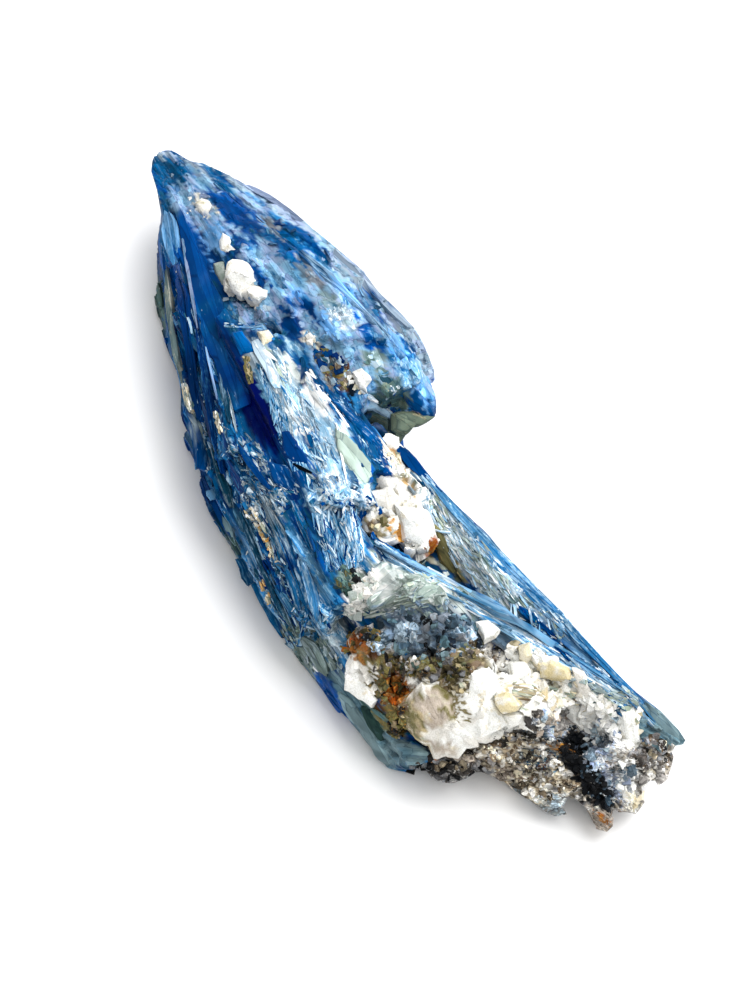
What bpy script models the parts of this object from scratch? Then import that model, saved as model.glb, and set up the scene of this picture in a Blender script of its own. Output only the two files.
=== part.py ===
"""Kyanite blade cluster: blue laths fanning out of one tip, grown through quartz and mica rock.

Run with: blender --background --python part.py
The specimen lies on Z = 0 with its length along X, the tip at -X and the broken foot at +X.
Tables are in millimetres, and TO_WORLD turns them into Blender's metres about the cluster's middle.
"""

import math
import random
from collections import namedtuple

import bmesh
import bpy
from mathutils import Matrix, Vector

MM = 0.001
TABLE_ORIGIN = (-2.37, 0.28, 0)  # the point of the tables that lies under the middle of the cluster
GAP = 0.3  # clearance left where two minerals meet
FLOOR_DEPTH = 20.0  # depth of the block that trims the underside flat
FLOOR_REACH = 200.0  # its length and width
WELD = 1e-7  # metres: points closer than this are one point

# A lath's own proportions. Shares along it run from -0.5 at the root to 0.5 at the tip.
LATH_SIDES = 6
FACE_SHARE = 0.8  # share of a lath's width taken by its broad face, the rest is bevel
WAIST = 0.15  # where a lath bends and reaches its full width
ON_PLANE = 1e-4  # a point this near to a lath's waist or to its middle plane lies on it
BEND = 0.06  # how far the waist wanders, as a share of the lath's width and thickness
BREAK_SET_BACK = 0.18  # how far in from the end a slanted break starts, as a share of the width
ROOT_LEAN = (0.2, 0.5)  # least and greatest slant of the break at the root, 1 being 45 degrees
TIP_LEAN = (0.15, 0.6)
FACE_LEAN = 0.25  # how much a break may also lean towards a broad face

# How the laths of one bundle differ from each other.
SIZE_SPREAD = (0.8, 1.2)
ROLL_SPREAD = 9.0  # degrees
TIP_STAGGER = (-1.0, 0.4)  # shares of the bundle's raggedness, mostly shortening the tips

LUMP_SUBDIVISIONS = 2
LUMP_SPREAD = (0.84, 1.12)  # how far a lump's corners are knocked in or out, 1 being its ellipsoid

TO_WORLD = Matrix.Scale(MM, 4) @ Matrix.Translation(TABLE_ORIGIN).inverted()

# A bundle lays `count` laths side by side: its first lath runs from first_root to first_tip and its
# last from last_root to last_tip. rolls tilts the broad faces of those two, from level (0) towards
# -Y (90). taper is a root's width as a share of the full width. ragged staggers the ends.
Bundle = namedtuple(
    "Bundle",
    "name count first_root first_tip last_root last_tip width thickness rolls taper ragged seed",
)

KYANITE = [
    # The body that everything grows from, and the broad laths that it rests on.
    Bundle(
        "tip_core", 3, (-58.6, 5.4, 9), (-22, -3, 8), (-58, 7, 9), (-18, 9, 8),
        width=8, thickness=8, rolls=(5, -5), taper=0.35, ragged=1, seed=11,
    ),
    Bundle(
        "middle_core", 3, (-36, -3, 8), (8, -7, 8), (-32, 8, 7.4), (-7, 5, 7.4),
        width=10, thickness=12, rolls=(4, -4), taper=0.8, ragged=1, seed=12,
    ),
    Bundle(
        "foot_core", 3, (0, -7, 7), (22, -7, 7), (2, 2.6, 6), (36, 5.4, 5.6),
        width=9, thickness=9, rolls=(0, 0), taper=1.0, ragged=2, seed=13,
    ),
    Bundle(
        "sole", 3, (-42, -1, 1.6), (20, -9, 1.2), (-38, 6.5, 1.8), (36, 5.5, 1.2),
        width=11, thickness=4, rolls=(3, -3), taper=0.6, ragged=2, seed=14,
    ),
    # The flank towards -Y: three rows of laths on edge, from the floor up to the ridge.
    Bundle(
        "flank_low", 6, (-49.5, 1.2, 3.4), (-25, -8.4, 2.6), (-16, -13.7, 2.4), (24, -15, 2.2),
        width=6.4, thickness=3.8, rolls=(86, 84), taper=0.5, ragged=1.5, seed=21,
    ),
    Bundle(
        "flank_middle", 6, (-52, 2.4, 7.4), (-18, -11.4, 8), (-12, -13.8, 7.8), (16, -15, 7.4),
        width=5.6, thickness=3.4, rolls=(80, 76), taper=0.35, ragged=2, seed=22,
    ),
    Bundle(
        "flank_high", 5, (-50, 2.2, 10.4), (-9, -11.8, 12.2), (-14, -11.4, 12.4), (17, -13.6, 11.4),
        width=4.2, thickness=2.8, rolls=(68, 58), taper=0.35, ragged=2, seed=23,
    ),
    Bundle(
        "ridge", 4, (-48, 2, 12), (-3, -10.6, 14.4), (-9, -10.4, 14.6), (17, -11.8, 13.4),
        width=3.2, thickness=2.2, rolls=(42, 24), taper=0.35, ragged=2, seed=24,
    ),
    # The one broad, smooth face beside the ridge.
    Bundle(
        "broad_blade", 1, (-46, 2.6, 11.4), (6, -8.6, 14.2), (-46, 2.6, 11.4), (6, -8.6, 14.2),
        width=8.5, thickness=3, rolls=(8, 8), taper=0.2, ragged=0, seed=25,
    ),
    # Laths lying over the broad face, with stepped ends.
    Bundle(
        "crown", 6, (-25, -3.5, 15.2), (8, -8, 16.4), (-17, 2.2, 15.6), (6.5, 1.4, 14.4),
        width=3.8, thickness=2.8, rolls=(12, -16), taper=0.6, ragged=2.5, seed=31,
    ),
    Bundle(
        "crown_steps", 4, (-14, -3.6, 16.8), (5, -5.6, 17.4), (-12, 0.4, 16.6), (4, -1, 16.4),
        width=2.8, thickness=1.6, rolls=(10, -8), taper=0.45, ragged=3, seed=32,
    ),
    # The wedge on the +Y side, which overhangs the notch with a blunt end.
    Bundle(
        "wedge_near", 4, (-57, 5.2, 9.8), (-20, 2.6, 15.4), (-26, 3.2, 15), (-5, 5.6, 14.4),
        width=5.4, thickness=3.6, rolls=(14, 6), taper=0.4, ragged=1.5, seed=41,
    ),
    Bundle(
        "wedge_crest", 4, (-56, 6, 10.2), (-16, 8, 16.6), (-30, 8, 15.6), (-3, 9.4, 14),
        width=5.6, thickness=3.6, rolls=(2, -8), taper=0.4, ragged=1.5, seed=42,
    ),
    Bundle(
        "wedge_far", 5, (-54, 7.4, 10.4), (-28, 14.2, 13), (-28, 14.2, 13), (-3, 11.2, 12),
        width=5, thickness=3.4, rolls=(-22, -36), taper=0.45, ragged=1.5, seed=43,
    ),
    Bundle(
        "rim", 5, (-54, 8.4, 8.6), (-28, 15.5, 9.8), (-31, 16.4, 9.6), (-9.5, 15.6, 9.6),
        width=4.8, thickness=3.2, rolls=(-58, -72), taper=0.5, ragged=1.2, seed=44,
    ),
    Bundle(
        "rim_low", 5, (-50, 7.4, 4), (-22, 14.4, 3.4), (-27, 14.2, 3.6), (-9, 11, 3),
        width=6, thickness=3.6, rolls=(-88, -84), taper=0.5, ragged=1.5, seed=45,
    ),
    # The long laths that carry the far ridge from the notch to the corner of the foot.
    Bundle(
        "far_ridge", 4, (-5, 4.8, 11.4), (26, 6.2, 11.4), (16, 4.8, 11.2), (51, 11.8, 7),
        width=4.4, thickness=2.2, rolls=(60, 50), taper=0.6, ragged=1.5, seed=51,
    ),
    Bundle(
        "far_ridge_inner", 4, (0, 3.0, 10.8), (30, 5, 10.4), (10, 2.2, 10), (38, 5.8, 10),
        width=3.8, thickness=2, rolls=(44, 34), taper=0.6, ragged=2, seed=52,
    ),
    Bundle(
        "back_high", 4, (-8, 5.4, 7.8), (24, 7.4, 7.4), (14, 6.6, 7.6), (48, 11.2, 5.6),
        width=5, thickness=3, rolls=(-70, -66), taper=0.6, ragged=2, seed=53,
    ),
    Bundle(
        "back_low", 4, (-10, 7.2, 2.8), (22, 9.6, 2.4), (16, 9, 2.8), (46, 11.8, 2.2),
        width=6, thickness=3.4, rolls=(-88, -84), taper=0.6, ragged=2, seed=54,
    ),
    # The thin laths along the upper edge of the broken foot.
    Bundle(
        "mid_ridge", 3, (9, -7.8, 15.6), (49.5, 10.6, 9.2), (10, -6, 15), (44, 9.2, 10.8),
        width=2.8, thickness=2.2, rolls=(24, 2), taper=0.55, ragged=2, seed=55,
    ),
    # Short laths where the flank steps down to the foot, and the pale fan that crosses them.
    Bundle(
        "fibre_sheaf", 5, (3, -9.4, 15.8), (15, -11.8, 14.4), (7, -6, 16.2), (17.5, -8, 15.2),
        width=2, thickness=2.2, rolls=(20, 0), taper=0.6, ragged=1.5, seed=61,
    ),
    Bundle(
        "pale_fan", 4, (15, -10.6, 11.6), (18, -6.4, 16.4), (23, -8.6, 11.4), (27, -1.4, 14.8),
        width=3.4, thickness=2.4, rolls=(60, 40), taper=0.9, ragged=0.8, seed=62,
    ),
    Bundle(
        "corner_blade", 2, (10, -15, 4), (35.5, -13, 2.6), (12, -13.6, 8), (31, -13.6, 6),
        width=6.4, thickness=3.2, rolls=(84, 72), taper=0.6, ragged=1, seed=63,
    ),
]

# A lump is a centre, its three radii, its turn about Z in degrees and a seed.
# Lumps of one mineral that touch are one solid.
Lump = namedtuple("Lump", "centre radii turn seed")

MICA_ROCK = [
    Lump((26, -3, 7), (10, 8, 6.2), 0, 101),
    Lump((35, 2, 6.4), (10, 8, 5.6), 10, 102),
    Lump((43, 5.5, 5.4), (8, 6.4, 4.6), 20, 103),
    Lump((32.9, -9.4, 4.2), (6, 4, 4), 15, 104),
    Lump((37.6, -3.6, 4.6), (5.2, 4.4, 4.2), 30, 105),
    Lump((21.5, -9.4, 6.4), (6.4, 4.4, 5.6), 0, 106),
    Lump((43, 0.8, 4), (4.6, 3.6, 3.8), 15, 111),
    # Teeth along the broken lower edge.
    Lump((44, -3.1, 2), (4.6, 1.4, 2), 18, 107),
    Lump((48.4, 1.2, 2.6), (4.4, 1.4, 2.2), 2, 108),
    Lump((48.8, 4.6, 3.8), (4.2, 1.9, 2.8), 12, 109),
    Lump((47.6, 9, 5.4), (3.8, 2.6, 3.2), 30, 110),
]
QUARTZ_FOOT = [
    Lump((32, -10.5, 9), (4, 3.2, 3.8), 30, 201),
    Lump((34.5, -6.5, 10.2), (4.2, 3.4, 3.6), 0, 202),
    Lump((30, -4.4, 12), (4.4, 2.8, 2.8), 20, 203),
    Lump((37, -1.4, 10.6), (4.4, 3, 2.8), 25, 204),
    Lump((43, 3.4, 9.2), (3.8, 2.6, 2.4), 25, 205),
    Lump((28.6, -7.8, 10.2), (3.4, 2.8, 3.2), 0, 206),
]
QUARTZ_CORNER = [
    Lump((23.4, -13.2, 9.6), (3, 2.4, 3.2), 0, 221),
    Lump((21.6, -12.4, 12), (2.4, 2, 2.2), 0, 222),
]
QUARTZ_NOTCH = [
    Lump((5.5, 2, 12.4), (4.4, 2.8, 2.4), 10, 241),
    Lump((11, 0.6, 12.2), (4.2, 2.6, 2.2), -10, 242),
    Lump((9, -2, 13.4), (3.4, 2.4, 2.0), 0, 243),
    Lump((1, 4.2, 12.2), (3.4, 1.8, 1.8), 0, 244),
]
QUARTZ_UPPER = [
    Lump((-30.5, 1.4, 14.2), (2.8, 1.9, 1.6), 0, 261),
    Lump((-27, 1.6, 14.8), (1.8, 1.4, 1.3), 0, 262),
]

# node: (base colour, roughness, metallic)
FINISHES = {
    "kyanite_blades": ((0.06, 0.17, 0.42), 0.32, 0.0),
    "mica_rock": ((0.20, 0.19, 0.18), 0.75, 0.0),
    "quartz_foot": ((0.82, 0.79, 0.73), 0.45, 0.0),
    "quartz_corner": ((0.80, 0.78, 0.74), 0.45, 0.0),
    "quartz_notch": ((0.84, 0.79, 0.70), 0.45, 0.0),
    "quartz_upper": ((0.86, 0.84, 0.80), 0.45, 0.0),
}


def clear_scene():
    """Removes whatever the file held before."""
    for obj in list(bpy.data.objects):
        bpy.data.objects.remove(obj)


def new_collection(name):
    """A collection linked to the scene."""
    collection = bpy.data.collections.new(name)
    bpy.context.scene.collection.children.link(collection)
    return collection


def add_object(name, bm, collection):
    """A mesh object that owns the bmesh's shape."""
    bmesh.ops.recalc_face_normals(bm, faces=bm.faces)
    mesh = bpy.data.meshes.new(name)
    bm.to_mesh(mesh)
    bm.free()
    obj = bpy.data.objects.new(name, mesh)
    collection.objects.link(obj)
    return obj


def mix(a, b, share):
    return Vector(a).lerp(Vector(b), share)


def between(low, high, share):
    return low + (high - low) * share


def cut_end(bm, point, normal):
    """Breaks the lath off along a plane and closes the break with a flat face."""
    cut = bmesh.ops.bisect_plane(
        bm,
        geom=bm.verts[:] + bm.edges[:] + bm.faces[:],
        dist=WELD,
        plane_co=point,
        plane_no=normal,
        clear_outer=True,
    )
    rim = [e for e in cut["geom_cut"] if isinstance(e, bmesh.types.BMEdge)]
    bmesh.ops.contextual_create(bm, geom=rim)


def lath(root, tip, width, thickness, roll, taper, seed, grow=0.0):
    """One kyanite lath: a flattened six-sided prism, bent a little, with two slanted breaks."""
    rng = random.Random(seed)
    axis = (tip - root).normalized()
    length = (tip - root).length + 2 * grow
    bm = bmesh.new()
    bmesh.ops.create_cone(
        bm, cap_ends=True, segments=LATH_SIDES, radius1=0.5, radius2=0.5, depth=1.0
    )
    for vert in bm.verts:
        out, along_width = vert.co.x, vert.co.y
        on_edge = abs(out) < ON_PLANE
        vert.co.x = math.copysign(0.5 if on_edge else 0.5 * FACE_SHARE, along_width)
        vert.co.y = 0.0 if on_edge else math.copysign(0.5, out)
    bmesh.ops.bisect_plane(
        bm,
        geom=bm.verts[:] + bm.edges[:] + bm.faces[:],
        plane_co=(0, 0, WAIST),
        plane_no=(0, 0, 1),
    )
    bend_across, bend_out = rng.uniform(-BEND, BEND), rng.uniform(-BEND, BEND)
    for vert in bm.verts:
        along = vert.co.z
        narrow = between(taper, 1.0, min(1.0, (along + 0.5) / (WAIST + 0.5)))
        bend = 1.0 if abs(along - WAIST) < ON_PLANE else 0.0
        vert.co.x = vert.co.x * (width * narrow + 2 * grow) + bend * bend_across * width
        vert.co.y = vert.co.y * (thickness * narrow + 2 * grow) + bend * bend_out * thickness
        vert.co.z = along * length
    for end, leans in ((-1, ROOT_LEAN), (1, TIP_LEAN)):
        lean = rng.choice((-1, 1)) * rng.uniform(*leans)
        slant = Vector((lean, rng.uniform(-FACE_LEAN, FACE_LEAN), end)).normalized()
        cut_end(bm, Vector((0, 0, end * (length / 2 - width * BREAK_SET_BACK))), slant)
    bmesh.ops.triangulate(bm, faces=bm.faces)
    up = Vector((0, 0, 1))
    normal = (up - axis * up.dot(axis)).normalized()
    normal.rotate(Matrix.Rotation(math.radians(roll), 3, axis))
    across = normal.cross(axis)
    turn = Matrix((across, normal, axis)).transposed().to_4x4()
    turn.translation = (root + tip) / 2
    bmesh.ops.transform(bm, matrix=TO_WORLD @ turn, verts=bm.verts)
    return bm


def lay_bundle(bundle, collection, grow=0.0):
    """Lays the laths of one bundle, each a little different from the last."""
    rng = random.Random(bundle.seed)
    for i in range(bundle.count):
        share = i / max(1, bundle.count - 1)
        root = mix(bundle.first_root, bundle.last_root, share)
        tip = mix(bundle.first_tip, bundle.last_tip, share)
        axis = (tip - root).normalized()
        root += axis * rng.uniform(-1, 1) * bundle.ragged
        tip += axis * rng.uniform(*TIP_STAGGER) * bundle.ragged
        size = rng.uniform(*SIZE_SPREAD) if bundle.count > 1 else 1.0
        roll = between(*bundle.rolls, share) + rng.uniform(-ROLL_SPREAD, ROLL_SPREAD)
        bm = lath(
            root, tip, bundle.width * size, bundle.thickness * size, roll,
            bundle.taper, bundle.seed * 100 + i, grow,
        )
        add_object(f"{bundle.name}_{i}", bm, collection)


def lay_lump(lump, name, collection, grow=0.0):
    """One lump: an icosphere knocked out of round, so that its facets read as broken rock."""
    rng = random.Random(lump.seed)
    bm = bmesh.new()
    bmesh.ops.create_icosphere(bm, subdivisions=LUMP_SUBDIVISIONS, radius=1.0)
    for vert in bm.verts:
        vert.co *= rng.uniform(*LUMP_SPREAD)
        vert.co = Vector([c * (r + grow) for c, r in zip(vert.co, lump.radii)])
    place = Matrix.Translation(lump.centre) @ Matrix.Rotation(math.radians(lump.turn), 4, "Z")
    bmesh.ops.transform(bm, matrix=TO_WORLD @ place, verts=bm.verts)
    add_object(name, bm, collection)


def lay_lumps(lumps, label, grow=0.0):
    """The lumps of one table in a collection of their own."""
    collection = new_collection(label)
    for i, lump in enumerate(lumps):
        lay_lump(lump, f"{label}_{i}", collection, grow)
    return collection


def boolean(obj, operation, collection):
    """Joins to the object, or cuts from it, everything in the collection."""
    modifier = obj.modifiers.new(operation.lower(), "BOOLEAN")
    modifier.operation = operation
    modifier.operand_type = "COLLECTION"
    modifier.collection = collection
    modifier.solver = "EXACT"


def freeze(obj):
    """Applies the modifiers, so that the helpers they read can be removed."""
    graph = bpy.context.evaluated_depsgraph_get()
    solid = bpy.data.meshes.new_from_object(obj.evaluated_get(graph))
    obj.modifiers.clear()
    obj.data = solid


def keep_largest_body(obj):
    """Drops the chips that a cut leaves loose."""
    bm = bmesh.new()
    bm.from_mesh(obj.data)
    bmesh.ops.remove_doubles(bm, verts=bm.verts, dist=WELD)
    bmesh.ops.triangulate(bm, faces=bm.faces)
    left, bodies = set(bm.verts), []
    while left:
        stack, body = [left.pop()], []
        while stack:
            vert = stack.pop()
            body.append(vert)
            for edge in vert.link_edges:
                other = edge.other_vert(vert)
                if other in left:
                    left.remove(other)
                    stack.append(other)
        bodies.append(body)
    bodies.sort(key=len)
    chips = [vert for body in bodies[:-1] for vert in body]
    bmesh.ops.delete(bm, geom=chips, context="VERTS")
    bm.to_mesh(obj.data)
    bm.free()


def remove_collection(collection):
    for obj in list(collection.objects):
        bpy.data.objects.remove(obj)
    bpy.data.collections.remove(collection)


def fuse(name, shapes, part):
    """One solid from the overlapping shapes of a collection, which is then removed."""
    first = shapes.objects[0]
    shapes.objects.unlink(first)
    part.objects.link(first)
    first.name = name
    boolean(first, "UNION", shapes)
    freeze(first)
    remove_collection(shapes)
    return first


def cut(obj, cutters):
    """Cuts the object with the shapes of a collection, which is then removed."""
    boolean(obj, "DIFFERENCE", cutters)
    freeze(obj)
    remove_collection(cutters)


def floor_block():
    """The block under Z = 0 that trims an underside flat."""
    collection = new_collection("floor_block")
    bm = bmesh.new()
    bmesh.ops.create_cube(bm, size=1.0)
    place = Matrix.Translation((0, 0, -FLOOR_DEPTH / 2 * MM)) @ Matrix.Diagonal(
        (FLOOR_REACH * MM, FLOOR_REACH * MM, FLOOR_DEPTH * MM, 1)
    )
    bmesh.ops.transform(bm, matrix=place, verts=bm.verts)
    add_object("floor_block", bm, collection)
    return collection


def all_laths(label, grow=0.0):
    """Every lath of the cluster in a collection of its own."""
    collection = new_collection(label)
    for bundle in KYANITE:
        lay_bundle(bundle, collection, grow)
    return collection


def finish(obj):
    """Gives the object its own material."""
    colour, roughness, metallic = FINISHES[obj.name]
    material = bpy.data.materials.new(obj.name)
    material.use_nodes = True
    shader = material.node_tree.nodes["Principled BSDF"]
    shader.inputs["Base Color"].default_value = (*colour, 1.0)
    shader.inputs["Roughness"].default_value = roughness
    shader.inputs["Metallic"].default_value = metallic
    obj.data.materials.clear()
    obj.data.materials.append(material)


def main():
    clear_scene()
    part = new_collection("kyanite_blade_cluster")

    kyanite = fuse("kyanite_blades", all_laths("laths"), part)
    held_in_kyanite = {
        "quartz_notch": QUARTZ_NOTCH,
        "quartz_upper": QUARTZ_UPPER,
        "quartz_corner": QUARTZ_CORNER,
    }
    for name, lumps in held_in_kyanite.items():
        fuse(name, lay_lumps(lumps, name + "_lumps"), part)
        cut(kyanite, lay_lumps(lumps, name + "_pocket", GAP))
    cut(kyanite, floor_block())
    keep_largest_body(kyanite)

    foot = fuse("quartz_foot", lay_lumps(QUARTZ_FOOT, "foot_lumps"), part)
    rock = fuse("mica_rock", lay_lumps(MICA_ROCK, "rock_lumps"), part)
    cut(rock, lay_lumps(QUARTZ_FOOT, "foot_pocket", GAP))
    cut(rock, lay_lumps(QUARTZ_CORNER, "corner_pocket", GAP))
    for obj in (foot, rock):
        cut(obj, all_laths("lath_room", GAP))
        cut(obj, floor_block())
        keep_largest_body(obj)

    for obj in part.objects:
        finish(obj)


main()
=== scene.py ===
"""Looks of the kyanite blade cluster: striated blades, flaky crown, quartz lumps and granular mica rock.

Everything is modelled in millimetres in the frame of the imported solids, and turned into metres at the
end. A place is often named by the pixel of the 752 x 1000 view where it shows, as the camera maps it.
"""

import math
from collections import namedtuple

import bmesh
import bpy
import numpy as np
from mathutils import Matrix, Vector
from mathutils.bvhtree import BVHTree


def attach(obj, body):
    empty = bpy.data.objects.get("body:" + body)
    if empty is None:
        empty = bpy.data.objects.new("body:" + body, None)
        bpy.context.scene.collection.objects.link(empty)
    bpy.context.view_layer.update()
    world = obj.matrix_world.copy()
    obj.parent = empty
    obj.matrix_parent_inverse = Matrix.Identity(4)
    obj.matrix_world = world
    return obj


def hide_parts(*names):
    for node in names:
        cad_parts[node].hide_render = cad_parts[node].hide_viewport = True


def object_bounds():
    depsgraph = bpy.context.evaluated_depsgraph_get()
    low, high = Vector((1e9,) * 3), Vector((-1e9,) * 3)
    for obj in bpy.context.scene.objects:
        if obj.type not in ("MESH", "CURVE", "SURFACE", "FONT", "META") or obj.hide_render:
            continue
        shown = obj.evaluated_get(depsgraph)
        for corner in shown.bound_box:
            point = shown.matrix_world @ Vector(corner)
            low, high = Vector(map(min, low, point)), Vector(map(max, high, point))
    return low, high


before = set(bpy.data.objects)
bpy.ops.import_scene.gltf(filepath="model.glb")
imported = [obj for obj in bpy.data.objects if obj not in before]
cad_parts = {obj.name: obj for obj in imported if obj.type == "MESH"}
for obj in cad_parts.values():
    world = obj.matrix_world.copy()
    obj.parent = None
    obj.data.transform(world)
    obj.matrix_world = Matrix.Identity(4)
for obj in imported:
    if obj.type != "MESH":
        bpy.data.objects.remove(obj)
CAD_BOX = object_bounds()

MM = 0.001
BODY = "root"
LOOK = "_look"  # ends the names of the materials made here

# ---------------------------------------------------------------- camera and pixels

AZIMUTH = 58  # degrees around the cluster
ELEVATION = 55  # degrees above the floor
DISTANCE = 420.0  # mm from the camera to its target
TARGET = np.array([5.37, 0.22, 9.0])
LENS = 126.0
SENSOR = 36.0
VIEW_SIZE = (752, 1000)
PIXEL_SCALE = LENS / SENSOR * max(VIEW_SIZE)
PIXEL = DISTANCE / PIXEL_SCALE  # mm that a pixel covers at the target


def way_towards(azimuth, elevation):
    """Unit vector from the cluster towards a place at these degrees around it and above the floor."""
    around, above = math.radians(azimuth), math.radians(elevation)
    return np.array([
        math.sin(around) * math.cos(above),
        -math.cos(around) * math.cos(above),
        math.sin(above),
    ])


BACK = way_towards(AZIMUTH, ELEVATION)
RIGHT = np.array([math.cos(math.radians(AZIMUTH)), math.sin(math.radians(AZIMUTH)), 0.0])
UP = np.cross(BACK, RIGHT)
EYE = TARGET + BACK * DISTANCE


def pixels(points):
    """Pixel coordinates of points, and their distance from the camera along its axis."""
    v = points - EYE
    depth = -(v @ BACK)
    x = VIEW_SIZE[0] / 2 + PIXEL_SCALE * (v @ RIGHT) / depth
    y = VIEW_SIZE[1] / 2 - PIXEL_SCALE * (v @ UP) / depth
    return x, y, depth


def pixel_ray(x, y):
    """Direction from the camera through a pixel."""
    return unit(-BACK * PIXEL_SCALE + RIGHT * (x - VIEW_SIZE[0] / 2) + UP * (VIEW_SIZE[1] / 2 - y))


def unit(v):
    """Vectors scaled to length 1."""
    return v / np.linalg.norm(v, axis=-1, keepdims=True)


def values_of(items, name, width, kind=float):
    """One property of all of a mesh's items, as the rows of an array."""
    values = np.empty(len(items) * width, kind)
    items.foreach_get(name, values)
    return values.reshape(-1, width)


def node_arrays(name):
    """A CAD node's points in millimetres and its triangles."""
    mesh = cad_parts[name].data
    mesh.calc_loop_triangles()
    return values_of(mesh.vertices, "co", 3) / MM, values_of(mesh.loop_triangles, "vertices", 3, int)


def tree_of(meshes):
    """A search tree of meshes given as points and faces."""
    points, faces, start = [], [], 0
    for p, f in meshes:
        points += p.tolist()
        faces += (f + start).tolist()
        start += len(p)
    return BVHTree.FromPolygons(points, faces)


# The outline of the cluster in the view, clockwise from its tip, in pixels.
VIEW_OUTLINE = np.array([
    (153, 153), (159, 149), (172, 150), (190, 161), (205, 163), (227, 170), (252, 184), (265, 189),
    (291, 209), (314, 229), (339, 250), (364, 271), (378, 291), (399, 311), (418, 331), (427, 351),
    (434, 369), (436, 391), (437, 416), (428, 423), (416, 429), (411, 434), (400, 437), (392, 438),
    (411, 451), (426, 470), (443, 490), (462, 510), (486, 531), (501, 550), (521, 570), (541, 590),
    (563, 611), (579, 630), (596, 650), (615, 671), (635, 691), (661, 711), (679, 730), (686, 741),
    (685, 746), (673, 747), (674, 757), (668, 781), (661, 786), (646, 786), (645, 802), (636, 815),
    (626, 812), (614, 813), (613, 826), (607, 832), (596, 829), (586, 808), (576, 799), (557, 797),
    (568, 815), (564, 820), (552, 817), (538, 806), (513, 790), (490, 775), (478, 771), (466, 779),
    (445, 786), (432, 783), (420, 777), (404, 772), (385, 768), (365, 755), (350, 731), (334, 711),
    (322, 691), (307, 671), (288, 651), (272, 631), (263, 611), (250, 591), (236, 573), (232, 563),
    (234, 553), (221, 541), (219, 528), (210, 519), (207, 508), (198, 491), (187, 471), (182, 451),
    (180, 431), (181, 391), (177, 371), (167, 351), (160, 331), (156, 311), (153, 291), (156, 271),
    (157, 231), (162, 219), (157, 191), (151, 171),
], float)
EDGE = 1.2  # pixels over which the outline draws points in
NEAREST_ROUNDS = 5  # steps towards the nearest surface, for a ray that misses it
CEILING = CAD_BOX[1][2] / MM + 0.45  # mm that nothing rises above
UNDER_CEILING = 0.9  # mm over which the heights are drawn in

SOLIDS = tree_of(node_arrays(name) for name in sorted(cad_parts))


def turned(x, y, degrees):
    """How far a place lies along a turned direction and across it."""
    turn = math.radians(degrees)
    return x * math.cos(turn) + y * math.sin(turn), y * math.cos(turn) - x * math.sin(turn)


def hit(x, y, tree=SOLIDS):
    """Where the ray of a pixel meets the surface, or comes closest to it, and the normal there."""
    ray = Vector(pixel_ray(x, y))
    place, normal, _, _ = tree.ray_cast(Vector(EYE), ray)
    if place is None:
        spot = Vector(EYE) + ray * DISTANCE
        for _ in range(NEAREST_ROUNDS):
            place, normal, _, _ = tree.find_nearest(spot)
            spot = Vector(EYE) + ray * (place - Vector(EYE)).dot(ray)
    return np.array(place), np.array(normal)


# ---------------------------------------------------------------- noise

def mix(a, b, share):
    """Some of a and the share of b."""
    return a + (b - a) * share


def step(x, low, high):
    """0 below low, 1 above high, smooth between."""
    t = np.clip((x - low) / (high - low), 0.0, 1.0)
    return t * t * (3 - 2 * t)


def random_of(cell, seed):
    """A number from 0 to 1 for each row of whole numbers."""
    c = cell.astype(np.int64)
    n = c[:, 0] * 374761393 + c[:, 1] * 668265263 + c[:, 2] * 2147483647 + seed * 974634777
    n = (n ^ (n >> 13)) * 1274126177
    n = (n ^ (n >> 16)) * 2246822519
    return ((n ^ (n >> 15)) & 0xFFFFFF) / float(0x1000000)


def noise(points, seed):
    """Smooth value noise from -1 to 1, with features of size 1."""
    base = np.floor(points)
    f = points - base
    f = f * f * (3 - 2 * f)
    total = np.zeros(len(points))
    for corner in np.ndindex(2, 2, 2):
        weight = np.prod(np.where(corner, f, 1 - f), axis=1)
        total += weight * random_of(base + corner, seed)
    return total * 2 - 1


def noise_vectors(points, seed):
    """Noise in each of the three directions."""
    return np.stack([noise(points, seed + i) for i in range(3)], axis=1)


def fractal(points, seed, octaves=4):
    """Noise with finer noise added, still about -1 to 1."""
    total, size, scale = 0, 0, 1.0
    for i in range(octaves):
        total = total + noise(points * scale, seed + i) / scale
        size += 1 / scale
        scale *= 2.03
    return total / size


def one_of(choices, rng):
    """A random one of the choices."""
    return choices[rng.integers(len(choices))]


def again(pick, seed):
    """Another random number from 0 to 1 made from one that already is."""
    return (pick * 7919.17 + seed * 0.6180339) % 1.0


def spread(values, gain):
    """Noise around 0 as picks from 0 to 1, more of them near both ends with more gain."""
    return 0.5 + 0.5 * np.clip(gain * values, -1, 1)


def facets(points, seed, tilt, lift):
    """Height of tilted flat facets around scattered centres, with a step between neighbours."""
    base = np.floor(points)
    near = np.full(len(points), 9.0)
    pick = np.zeros(len(points))
    offset = np.zeros_like(points)
    for corner in np.ndindex(3, 3, 3):
        cell = base + corner - 1
        centre = cell + np.stack([random_of(cell, seed + i) for i in range(3)], axis=1)
        way = points - centre
        far = np.linalg.norm(way, axis=1)
        closer = far < near
        near[closer] = far[closer]
        offset[closer] = way[closer]
        pick[closer] = random_of(cell, seed + 3)[closer]
    lean = np.stack([again(pick, i) * 2 - 1 for i in (1, 2, 3)], axis=1)
    return tilt * np.sum(lean * offset, axis=1) + lift * (again(pick, 4) * 2 - 1)


# ---------------------------------------------------------------- the grain of the kyanite

SLICE = 2.0  # mm between the slices that measure the cluster's outline
SLICE_BLUR = 5  # slices on each side that smooth it
GRAIN_HALF = 14.0  # the across-grain coordinates run from minus this to this


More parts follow.
